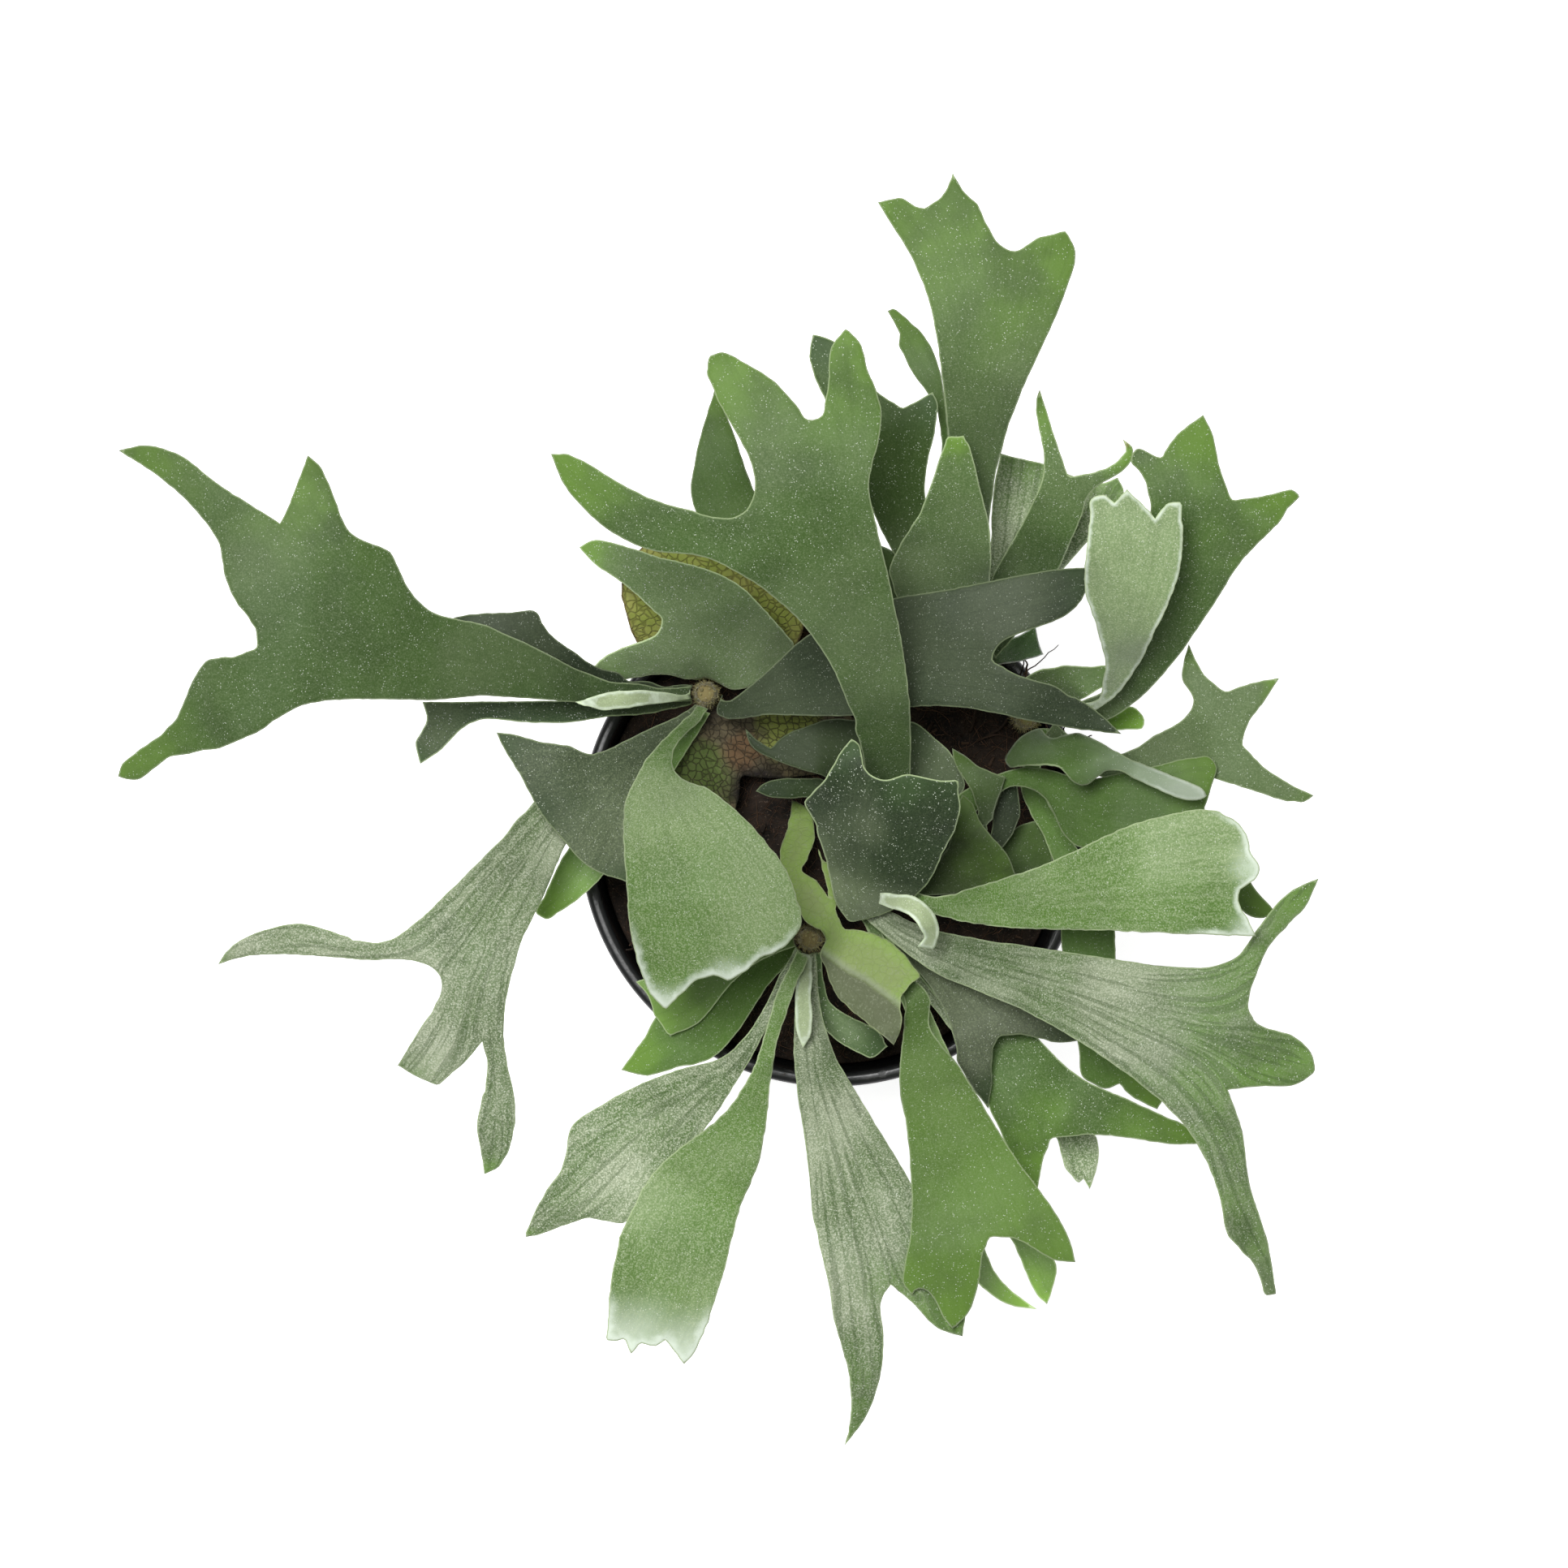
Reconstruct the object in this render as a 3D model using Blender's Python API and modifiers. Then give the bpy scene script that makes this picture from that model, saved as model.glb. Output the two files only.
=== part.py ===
"""A staghorn fern in its nursery pot.

The plant is a clump of five growing points, each a woolly bud that carries its own fronds.  A frond
is a leathery blade with a plan outline, drawn in millimetres, and a spine that gives its height
above the soil.  Blades are laid from the lowest to the highest, and each is raised clear of
whatever already lies beneath it.  The origin is on the floor, on the pot's axis, with +Y at the back.
"""

import math

import bmesh
import bpy
import numpy as np
from mathutils import Vector

MM = 0.001

# Pot: a thin moulded shell with a rolled rim.
POT_HEIGHT = 130 * MM
POT_RIM_RADIUS = 85 * MM
POT_FOOT_RADIUS = 62 * MM
POT_WALL = 1.6 * MM
POT_RIM_DEPTH = 12 * MM
POT_RIM_OVERHANG = 3.2 * MM
RIM_ROUNDING = 2 * MM
FOOT_ROUNDING = 2 * MM
ARC_STEPS = 3
POT_FLOOR = 2.4 * MM
DRAIN_HOLE_RADIUS = 5 * MM
DRAIN_RING_RADIUS = 44 * MM
DRAIN_HOLE_COUNT = 6
DRILL_SIDES = 16

# Soil: coir and peat, set below the rim, a little lower at the wall.
SOIL_BELOW_RIM = 12 * MM
SOIL_SAG = 4 * MM
SOIL_ROUNDING = 2 * MM
SOIL_RINGS = 4
FIT_GAP = 0.4 * MM
TURN_STEPS = 48

# Growing points, in plan millimetres, and the size of the woolly bud at each.  Every plan place
# below is drawn for a pot with this much room from its axis to a bud against its wall, and is
# scaled to the room that the pot has.
DRAWN_ROOM = 75.8 * MM
BUD_RADIUS = 4.4 * MM
BUD_HEIGHT = 30 * MM
BUD_GAP = 1.2 * MM
BUD_LEVELS = 9
BUD_TURN_STEPS = 12
BUD_TOP_SWELL = 0.12
BUD_FOOT_SWELL = 0.92
BUD_FULLNESS = 0.6
BUD_BLUNTNESS = 1.4
BUD_FOOT_SHARE = 0.6
BUDS = {
    "west": (-41.5, 45.5),
    "south": (-8, -33.5),
    "centre": (9, -19),
    "east": (62, 38),
    "north": (46, 57),
}

# Blades.
BLADE_THICKNESS = 1.2 * MM
SHIELD_THICKNESS = 1.6 * MM
BLADE_CLEARANCE = 3.0 * MM
RAISE_SLOPE = 0.45
BLADE_RISE = 1.2
ARCH_RADIUS = 170.0
CROSS_CUT = 13.0
LONG_CUT = 21.0
SHORTEST_EDGE = 0.9
CORNER_TURN = math.radians(52)
OUTLINE_STEPS = 2
STRETCH_STEPS = 12
FIRST_CROSS_CUT = 0.7
SAME_POINT = 0.01
CUT_SNAP = 0.05

# The plan outlines are drawn as the plant shows from an eye straight above it.  A point that
# stands higher than the drawing plane is drawn larger than it is, so it is drawn in again here.
EYE_AXIS = (-16.3, 16.4)
EYE_ABOVE_SOIL = 1572.0
PLANE_ABOVE_SOIL = 72.0

# Height maps that tell a blade what lies beneath it.
CELL = 1.0
DRAWN_REACH = 260
SETTLE_ROUNDS = 14
SMALLEST_AREA = 1e-6
EDGE_SLACK = 0.05
TOUCH = 1e-3
FAR_AWAY = 1e6
BELOW_ALL = -1e5

SOIL_TOP = POT_HEIGHT - SOIL_BELOW_RIM
PLAN_SCALE = (POT_RIM_RADIUS - POT_RIM_OVERHANG - POT_WALL - BUD_RADIUS) / DRAWN_ROOM
MAP_HALF = math.ceil(DRAWN_REACH * PLAN_SCALE)

FINISHES = {
    "mature": ((0.105, 0.205, 0.060), 0.62),
    "grey": ((0.165, 0.230, 0.130), 0.80),
    "dark": ((0.060, 0.105, 0.055), 0.60),
    "velvet": ((0.230, 0.330, 0.165), 0.90),
    "white": ((0.520, 0.560, 0.430), 0.92),
    "bright": ((0.160, 0.300, 0.060), 0.55),
    "shield": ((0.130, 0.110, 0.050), 0.75),
    "bud": ((0.220, 0.200, 0.080), 0.95),
    "soil": ((0.020, 0.012, 0.008), 0.95),
    "pot": ((0.012, 0.012, 0.013), 0.38),
}


# ---------------------------------------------------------------- scene and materials

for old in list(bpy.data.objects):
    bpy.data.objects.remove(old, do_unlink=True)

parts = bpy.data.collections.new("potted_fern")
cutters = bpy.data.collections.new("cutters")
bpy.context.scene.collection.children.link(parts)
bpy.context.scene.collection.children.link(cutters)


def finish(thing, kind):
    """Give an object its own Principled material of one of the plant's finishes."""
    colour, roughness = FINISHES[kind]
    material = bpy.data.materials.new(thing.name + "_finish")
    material.use_nodes = True
    shader = material.node_tree.nodes["Principled BSDF"]
    shader.inputs["Base Color"].default_value = (*colour, 1.0)
    shader.inputs["Roughness"].default_value = roughness
    thing.data.materials.append(material)


def add_object(name, mesh, collection=parts):
    thing = bpy.data.objects.new(name, mesh)
    collection.objects.link(thing)
    return thing


# ---------------------------------------------------------------- turned pieces

def turned(name, profile, kind):
    """Turn a profile of (radius, height) points, top to bottom on the outer side, about the axis."""
    mesh = bpy.data.meshes.new(name)
    edges = [(at, at + 1) for at in range(len(profile) - 1)]
    mesh.from_pydata([(radius, 0, height) for radius, height in profile], edges, [])
    piece = add_object(name, mesh)
    screw = piece.modifiers.new("turn", "SCREW")
    screw.axis = "Z"
    screw.angle = math.tau
    screw.steps = TURN_STEPS
    screw.render_steps = TURN_STEPS
    screw.use_merge_vertices = True
    screw.merge_threshold = 0.0001
    screw.use_smooth_shade = True
    finish(piece, kind)
    return piece


def wall_radius(height):
    """Outer radius of the pot's tapered wall at a height, below the rolled rim."""
    top = POT_RIM_RADIUS - POT_RIM_OVERHANG
    share = height / (POT_HEIGHT - POT_RIM_DEPTH)
    return POT_FOOT_RADIUS + (top - POT_FOOT_RADIUS) * min(share, 1.0)


def rounded_edge(radius, height, size, first, last):
    """Profile points of an edge rounded about a centre, between two angles in degrees."""
    angles = np.radians(np.linspace(first, last, ARC_STEPS + 1))
    return [(radius + size * math.cos(angle), height + size * math.sin(angle)) for angle in angles]


def make_pot():
    """The nursery pot: tapered wall, rolled rim, and a flat floor with drain holes."""
    rim_low = POT_HEIGHT - POT_RIM_DEPTH
    mouth = wall_radius(rim_low) - POT_WALL
    profile = [(0, POT_FLOOR), (wall_radius(POT_FLOOR) - POT_WALL, POT_FLOOR), (mouth, rim_low)]
    profile += rounded_edge(mouth + RIM_ROUNDING, POT_HEIGHT - RIM_ROUNDING, RIM_ROUNDING, 180, 90)
    rim_edge = POT_RIM_RADIUS - RIM_ROUNDING
    profile += rounded_edge(rim_edge, POT_HEIGHT - RIM_ROUNDING, RIM_ROUNDING, 90, 0)
    profile += rounded_edge(rim_edge, rim_low + RIM_ROUNDING, RIM_ROUNDING, 0, -90)
    profile.append((wall_radius(rim_low), rim_low))
    profile.append((wall_radius(FOOT_ROUNDING), FOOT_ROUNDING))
    profile += rounded_edge(POT_FOOT_RADIUS - FOOT_ROUNDING, FOOT_ROUNDING, FOOT_ROUNDING, 0, -90)
    profile.append((0, 0))
    pot = turned("pot", profile, "pot")
    for index in range(DRAIN_HOLE_COUNT):
        angle = math.tau * index / DRAIN_HOLE_COUNT
        place = (DRAIN_RING_RADIUS * math.cos(angle), DRAIN_RING_RADIUS * math.sin(angle), 0)
        bpy.ops.mesh.primitive_cylinder_add(
            vertices=DRILL_SIDES, radius=DRAIN_HOLE_RADIUS, depth=4 * POT_FLOOR, location=place)
        drill = bpy.context.object
        drill.name = "drain_drill_%d" % index
        drill.display_type = "WIRE"
        drill.hide_render = True
        for owner in list(drill.users_collection):
            owner.objects.unlink(drill)
        cutters.objects.link(drill)
        cut = pot.modifiers.new("drain_%d" % index, "BOOLEAN")
        cut.operation = "DIFFERENCE"
        cut.solver = "EXACT"
        cut.object = drill
    return pot


def make_soil():
    """The root ball: it fills the pot to below the rim and sags towards the wall."""
    bottom = POT_FLOOR + FIT_GAP
    edge = SOIL_TOP - SOIL_SAG
    inner = POT_WALL + FIT_GAP
    reach = wall_radius(edge) - inner - SOIL_ROUNDING
    profile = [(0, SOIL_TOP - FIT_GAP)]
    for ring in range(1, SOIL_RINGS + 1):
        share = ring / SOIL_RINGS
        profile.append((reach * share, SOIL_TOP - FIT_GAP - (SOIL_SAG - FIT_GAP) * share ** 4))
    profile.append((wall_radius(edge - SOIL_ROUNDING) - inner, edge - SOIL_ROUNDING))
    profile.append((wall_radius(bottom) - inner, bottom))
    profile.append((0, bottom))
    return turned("soil", profile, "soil")


def bud_place(name):
    """Where a growing point stands, in plan millimetres from the pot's axis."""
    drawn = np.array([BUDS[name]], dtype=float)
    return PLAN_SCALE * true_plan(drawn, np.array([BUD_HEIGHT / MM]))[0]


def make_bud(name):
    """One growing point: an upright woolly knob that stands on the soil."""
    profile = [(0, BUD_HEIGHT)]
    for level in range(1, BUD_LEVELS):
        share = level / BUD_LEVELS
        swell = math.sin(math.pi * (BUD_TOP_SWELL + (BUD_FOOT_SWELL - BUD_TOP_SWELL) * share))
        profile.append((BUD_RADIUS * swell ** BUD_FULLNESS, BUD_HEIGHT * (1 - share ** BUD_BLUNTNESS)))
    profile.append((BUD_FOOT_SHARE * BUD_RADIUS, 0))
    profile.append((0, 0))
    bud = turned("bud_" + name, profile, "bud")
    bud.modifiers["turn"].steps = BUD_TURN_STEPS
    bud.modifiers["turn"].render_steps = BUD_TURN_STEPS
    x, y = bud_place(name)
    bud.location = (x * MM, y * MM, SOIL_TOP + FIT_GAP)
    return bud


# ---------------------------------------------------------------- heights and clearances

def true_plan(plan, height):
    """Plan places of drawn points, once each is drawn in for its height above the soil."""
    axis = np.array(EYE_AXIS)
    scale = (EYE_ABOVE_SOIL - height) / (EYE_ABOVE_SOIL - PLANE_ABOVE_SOIL)
    return axis + (plan - axis) * scale[:, None]


def covered_cells(corners):
    """Rows, columns and heights of the map cells under one triangle."""
    low = np.floor(corners[:, :2].min(axis=0) / CELL).astype(int) + MAP_HALF
    high = np.ceil(corners[:, :2].max(axis=0) / CELL).astype(int) + MAP_HALF
    columns, rows = np.meshgrid(np.arange(low[0], high[0] + 1), np.arange(low[1], high[1] + 1))
    x = (columns - MAP_HALF) * CELL
    y = (rows - MAP_HALF) * CELL
    a, b, c = corners
    area = (b[0] - a[0]) * (c[1] - a[1]) - (c[0] - a[0]) * (b[1] - a[1])
    if abs(area) < SMALLEST_AREA:
        return rows[:0, 0], columns[:0, 0], np.zeros(0)
    of_a = ((b[0] - x) * (c[1] - y) - (c[0] - x) * (b[1] - y)) / area
    of_b = ((c[0] - x) * (a[1] - y) - (a[0] - x) * (c[1] - y)) / area
    of_c = 1 - of_a - of_b
    inside = (of_a > -EDGE_SLACK) & (of_b > -EDGE_SLACK) & (of_c > -EDGE_SLACK)
    height = of_a * a[2] + of_b * b[2] + of_c * c[2]
    height = np.clip(height, corners[:, 2].min(), corners[:, 2].max())
    at_corner = np.rint(corners[:, :2] / CELL).astype(int) + MAP_HALF
    return (np.concatenate([rows[inside], at_corner[:, 1]]),
            np.concatenate([columns[inside], at_corner[:, 0]]),
            np.concatenate([height[inside], corners[:, 2]]))


def spread(grid, pick):
    """Widen a height map by one cell each way, keeping the picked (highest or lowest) value."""
    wide = grid.copy()
    for step in (-1, 1):
        wide = pick(wide, np.roll(grid, step, axis=0))
    level = wide.copy()
    for step in (-1, 1):
        wide = pick(wide, np.roll(level, step, axis=1))
    return wide


class Clutter:
    """What is already in place: the highest and lowest surface of each piece in each map cell."""

    def __init__(self):
        self.names = []
        self.tops = np.zeros((0, 2 * MAP_HALF, 2 * MAP_HALF), dtype=np.float32)
        self.floors = self.tops.copy()

    def add(self, name, points, triangles, solid):
        size = (2 * MAP_HALF, 2 * MAP_HALF)
        top = np.full(size, -FAR_AWAY, dtype=np.float32)
        floor = np.full(size, FAR_AWAY, dtype=np.float32)
        for triangle in triangles:
            rows, columns, height = covered_cells(points[list(triangle)])
            top[rows, columns] = np.maximum(top[rows, columns], height)
            floor[rows, columns] = np.minimum(floor[rows, columns], height)
        if solid:
            floor = np.where(top > BELOW_ALL, BELOW_ALL, floor)
        self.names.append(name)
        self.tops = np.concatenate([self.tops, spread(top, np.maximum)[None]])
        self.floors = np.concatenate([self.floors, spread(floor, np.minimum)[None]])

    def shortfall(self, corners, skip):
        """How far a triangle must rise so that it clears each piece it now cuts or touches."""
        rows, columns, height = covered_cells(corners)
        if not len(height):
            return 0.0
        gap = BLADE_CLEARANCE / MM
        top = self.tops[:, rows, columns]
        floor = self.floors[:, rows, columns]
        cuts = (height < top + gap - TOUCH) & (height > floor - gap)
        missing = np.where(cuts, top + gap - height, 0.0)
        if skip in self.names:
            missing[self.names.index(skip)] = 0.0
        return float(missing.max())


clutter = Clutter()


def note_solid(piece):
    """Put a turned piece in the clutter, in millimetres above the soil."""
    depsgraph = bpy.context.evaluated_depsgraph_get()
    mesh = bpy.data.meshes.new_from_object(piece.evaluated_get(depsgraph))
    mesh.transform(piece.matrix_world)
    mesh.calc_loop_triangles()
    points = np.array([vertex.co[:] for vertex in mesh.vertices]) / MM
    points[:, 2] -= SOIL_TOP / MM
    clutter.add(piece.name, points, [triangle.vertices[:] for triangle in mesh.loop_triangles], True)
    bpy.data.meshes.remove(mesh)


# ---------------------------------------------------------------- blades

def smooth_line(points):
    """A Catmull-Rom line through the points, with each stretch in equal steps."""
    padded = np.vstack([2 * points[0] - points[1], points, 2 * points[-1] - points[-2]])
    line = []
    for index in range(len(points) - 1):
        before, start, end, after = padded[index:index + 4]
        for share in np.arange(STRETCH_STEPS) / STRETCH_STEPS:
            line.append(0.5 * (2 * start + (end - before) * share
                               + (2 * before - 5 * start + 4 * end - after) * share ** 2
                               + (3 * start - before - 3 * end + after) * share ** 3))
    return np.array(line + [points[-1]])


def outline_mesh(name, outline):
    """A flat n-gon inside a smooth closed curve, whose sharp turns stay sharp."""
    curve = bpy.data.curves.new(name, "CURVE")
    curve.dimensions = "2D"
    curve.fill_mode = "NONE"
    curve.resolution_u = OUTLINE_STEPS
    spline = curve.splines.new("BEZIER")
    spline.bezier_points.add(len(outline) - 1)
    spline.use_cyclic_u = True
    for index, (x, y) in enumerate(outline):
        here = Vector((x, y))
        arriving = here - Vector(outline[index - 1])
        leaving = Vector(outline[(index + 1) % len(outline)]) - here
        corner = arriving.angle(leaving) > CORNER_TURN
        point = spline.bezier_points[index]
        point.co = (x, y, 0)
        point.handle_left_type = "VECTOR" if corner else "AUTO"
        point.handle_right_type = "VECTOR" if corner else "AUTO"
    drawn = add_object(name + "_outline", curve)
    depsgraph = bpy.context.evaluated_depsgraph_get()
    mesh = bpy.data.meshes.new_from_object(drawn.evaluated_get(depsgraph))
    bpy.data.objects.remove(drawn, do_unlink=True)
    bpy.data.curves.remove(curve)
    return mesh


def cut_blade(mesh, start, direction):
    """Fill the outline and cut it across and along, so that it can bend both ways."""
    bm = bmesh.new()
    bm.from_mesh(mesh)
    bmesh.ops.remove_doubles(bm, verts=bm.verts[:], dist=SAME_POINT)
    bmesh.ops.contextual_create(bm, geom=bm.verts[:] + bm.edges[:])
    side = Vector((-direction.y, direction.x, 0))
    for normal, spacing, first in ((direction, CROSS_CUT, FIRST_CROSS_CUT), (side, LONG_CUT, 0.0)):
        reach = [(vertex.co - start).dot(normal) for vertex in bm.verts]
        for step in range(math.ceil(min(reach) / spacing), math.floor(max(reach) / spacing) + 1):
            bmesh.ops.bisect_plane(
                bm, geom=bm.verts[:] + bm.edges[:] + bm.faces[:], dist=CUT_SNAP,
                plane_co=start + normal * spacing * (step + first), plane_no=normal)
    bmesh.ops.remove_doubles(bm, verts=bm.verts[:], dist=SHORTEST_EDGE)
    bmesh.ops.dissolve_degenerate(bm, edges=bm.edges[:], dist=CUT_SNAP)
    bmesh.ops.triangulate(bm, faces=bm.faces[:], quad_method="BEAUTY", ngon_method="BEAUTY")
    bmesh.ops.recalc_face_normals(bm, faces=bm.faces[:])
    if sum(face.normal.z for face in bm.faces) < 0:
        bmesh.ops.reverse_faces(bm, faces=bm.faces[:])
    bm.to_mesh(mesh)
    bm.free()


def step_off_bud(plan, bud, direction):
    """Move points that lie inside the bud out of it, along the way the blade leaves."""
    keep_off = (BUD_RADIUS + BUD_GAP) / MM
    away = plan - bud
    along = away @ direction
    across = np.linalg.norm(away - along[:, None] * direction, axis=1)
    inside = np.hypot(along, across) < keep_off
    reach = np.sqrt(np.maximum(keep_off ** 2 - across ** 2, 0.0))
    moved = plan + (reach - along)[:, None] * direction
    return np.where(inside[:, None], moved, plan)


def blade(name, bud, kind, spine, outline, arch=ARCH_RADIUS, thickness=BLADE_THICKNESS):
    """Lay one blade: outline in plan, heights from the spine, raised clear of what is beneath."""
    mesh = outline_mesh(name, outline)
    start = Vector((*spine[0][:2], 0))
    direction = (Vector((*spine[-1][:2], 0)) - start).normalized()
    cut_blade(mesh, start, direction)
    plan = np.array([vertex.co[:2] for vertex in mesh.vertices])
    triangles = [polygon.vertices[:] for polygon in mesh.polygons]

    line = smooth_line(np.array(spine, dtype=float))
    distances = np.linalg.norm(plan[:, None, :] - line[None, :, :2], axis=2)
    nearest = distances.argmin(axis=1)
    height = BLADE_RISE * line[nearest, 2] - distances.min(axis=1) ** 2 / (2 * arch)
    apart = np.linalg.norm(plan[:, None, :] - plan[None, :, :], axis=2)

    root = bud_place(bud)
    leaving = line[STRETCH_STEPS // 2, :2] - line[0, :2]
    leaving = leaving / np.linalg.norm(leaving)
    for _ in range(SETTLE_ROUNDS):
        place = step_off_bud(PLAN_SCALE * true_plan(plan, height), root, leaving)
        points = np.column_stack([place, height])
        need = np.zeros(len(points))
        for triangle in triangles:
            corners = list(triangle)
            missing = clutter.shortfall(points[corners], "bud_" + bud)
            need[corners] = np.maximum(need[corners], missing)
        if need.max() == 0:
            break
        height = height + (need[None, :] - RAISE_SLOPE * apart).max(axis=1).clip(min=0)
    clutter.add(name, points, triangles, False)

    origin = np.array([root[0], root[1], 0.0])
    for vertex, point in zip(mesh.vertices, points - origin):
        vertex.co = Vector(point) * MM
    mesh.name = name
    piece = add_object(name, mesh)
    piece.location = (root[0] * MM, root[1] * MM, SOIL_TOP)
    shell = piece.modifiers.new("thickness", "SOLIDIFY")
    shell.thickness = thickness
    shell.offset = 0
    finish(piece, kind)
    mesh.shade_smooth()
    return piece


# ---------------------------------------------------------------- pot, soil and buds

note_solid(make_pot())
note_solid(make_soil())
for bud_name in BUDS:
    note_solid(make_bud(bud_name))


# ---------------------------------------------------------------- shields over the root ball

blade("shield_west", "west", "shield",
      [(-42, 41, 9), (-38, 25, 17), (-30, 8, 12)],
      [(-44, 41), (-52, 32), (-55, 18), (-52, 5), (-42, -2), (-33, 0), (-31.5, 10), (-30, 19),
       (-20, 18.5), (-8, 19.5), (2, 22), (8, 32), (4, 40), (-10, 44), (-25, 44), (-38, 41)],
      arch=60, thickness=SHIELD_THICKNESS)
blade("shield_north_west", "west", "shield",
      [(-41, 50, 10), (-42, 70, 28), (-44, 95, 34)],
      [(-41, 50), (-55, 56), (-64, 62), (-66, 68), (-68.5, 78.5), (-66, 88), (-56, 96), (-40, 95),
       (-24, 85), (-10, 70), (-14, 58), (-28, 50), (-38, 49)],
      arch=90, thickness=SHIELD_THICKNESS)


# ---------------------------------------------------------------- blades low in the clump

blade("frond_south_west_bright", "west", "bright",
      [(-44, 40, 16), (-62, 18, 25), (-80, -8, 33), (-95, -27, 28)],
      [(-43, 41), (-58, 26), (-72, 10), (-85.5, -4), (-90, -12), (-95.5, -25.5), (-93, -27),
       (-85, -22.5), (-75, -13.5), (-66, -2), (-52, 20), (-40, 39)])
blade("frond_west_shaded_low", "west", "dark",
      [(-46, 44, 18), (-75, 41, 42), (-100, 40, 54), (-120, 36, 52), (-133, 24, 42)],
      [(-43, 46), (-70, 44), (-100, 43), (-132.5, 43), (-131, 37), (-134.5, 30), (-133, 23),
       (-126, 28), (-120, 34), (-114, 37), (-102, 36.4), (-88, 36), (-73, 38), (-60, 39), (-43, 43)])
blade("frond_west_shaded_high", "west", "dark",
      [(-46, 46, 22), (-72, 51, 48), (-95, 60, 62), (-115, 64, 66), (-130, 62, 62)],
      [(-43, 48), (-60, 49), (-76.5, 54), (-84, 59), (-92, 65), (-96, 71.6), (-113, 71.3),
       (-122, 69.9), (-130, 66), (-128, 58), (-110, 52), (-80, 46), (-43, 44)])
blade("frond_centre_tongue", "centre", "dark",
      [(6, -14, 10), (-5, 12, 20), (-26, 14.5, 24)],
      [(8, -14), (3, 8), (-4, 18), (-14, 18.3), (-22, 17), (-26, 14.3), (-20, 12), (-9, 12),
       (-2, 2), (4, -15)])
blade("frond_centre_small", "centre", "dark",
      [(9, -14, 12), (10, 12, 26), (0, 28, 34), (-14, 28, 36), (-28, 34, 34)],
      [(11, -13), (14, 10), (12, 36), (0, 37.5), (-8, 35.5), (-16, 32), (-20.5, 28), (-25, 30.5),
       (-28.7, 34.3), (-27, 29), (-20, 24.5), (-9, 20.5), (-2, 18), (4, 4), (7, -13)])
blade("frond_centre_grey", "centre", "dark",
      [(12, -15, 15), (23, 10, 34), (32, 30, 42)],
      [(14, -14), (30, 0), (42, 16), (37, 27), (25, 36.5), (18, 34), (20, 15), (10, -13)])
blade("frond_centre_tip", "centre", "grey",
      [(14, -20, 8), (40, -16, 20), (66, 2, 30)],
      [(14, -22), (45, -22), (60, -16), (70, -10), (69, 0), (66, 4.7), (60, 3.5), (54, -2),
       (40, -13), (14, -18)])
blade("frond_centre_green", "centre", "mature",
      [(14, -19, 14), (38, -15, 26), (52, -3, 36), (57, 18, 42)],
      [(14, -21), (40, -18), (54, -4), (59.5, 6), (58, 18.5), (55, 16), (51, 7), (50, 0),
       (34, -13), (14, -17)])
blade("frond_east_shaded", "centre", "bright",
      [(14, -17, 18), (32, 1, 32), (48, 15, 42), (66, 15, 54), (95, 10, 68), (120, 2, 70),
       (138, -24, 60)],
      [(13, -14), (30, 4), (46, 17), (55, 20.3), (63, 21.8), (71, 20.5), (82, 18), (92, 20),
       (103, 22), (112, 24.5), (120, 25.3), (123, 21.5), (121, 15), (119, 8), (125, 2),
       (131, -7), (134, -15.5), (138, -20.5), (141.5, -24.5), (138, -26.7), (130, -24),
       (118, -16), (104, -4), (88, -5), (77, -3), (72, 4), (68, 11.5), (60, 15.5), (54, 14),
       (42, 4), (26, -9), (14, -18)])
blade("frond_centre_pointed", "centre", "grey",
      [(14, -18, 20), (38, -6, 34), (49, 7, 44), (46, 18, 48), (38, 28, 46)],
      [(13, -21), (36, -10), (49, 2), (51.5, 9), (55, 18.8), (46, 22.5), (37.7, 28.3),
       (38.5, 23), (44, 14), (46, 7), (34, -3), (13, -16)])
blade("frond_centre_folded", "centre", "mature",
      [(14, -18, 26), (36, -12, 42), (47, -2, 52), (42, 12, 52)],
      [(13, -20), (36, -19), (50, -18), (58.5, -14), (56.5, -8), (50, 0.5), (46.5, 5),
       (44.5, 10), (41, 13), (38.5, 6), (36.5, -4), (28, -11), (12, -15)], arch=45)
blade("frond_east_stub", "east", "grey",
      [(69, 43, 14), (72, 50, 26), (84, 54, 30)],
      [(66, 43), (60, 50), (66, 53.5), (80, 54.3), (87, 54.5), (88, 49), (80, 44), (70, 42)])
blade("frond_east_little", "east", "bright",
      [(72, 37, 14), (84, 36, 26), (100, 37, 32)],
      [(71, 39), (85, 38.5), (92, 41), (96, 41.3), (100, 37.5), (99, 34.3), (92.5, 33.8),
       (82, 34.5), (71, 36)])
blade("frond_north_notch_leaf", "north", "grey",
      [(50, 58, 14), (58, 59, 28), (66, 62, 34)],
      [(48, 59), (52, 61), (60, 64.5), (64.8, 67.5), (66, 62), (67.5, 58.2), (60, 56), (49, 54)])
blade("frond_south_east_hidden", "east", "mature",
      [(66, 33, 16), (63, 18, 26), (70, 0, 38), (81, -28, 48), (88, -60, 52), (103, -87, 42)],
      [(69, 34), (66, 18), (72, 5), (79, -6), (90, -30), (90, -50), (92, -66), (100, -80),
       (105.3, -85.3), (103.7, -88), (95.5, -84), (91.5, -80), (87, -81.3), (80, -78),
       (77, -60), (73, -36), (72, -15), (67, 0), (60, 14), (63, 34)])
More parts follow.
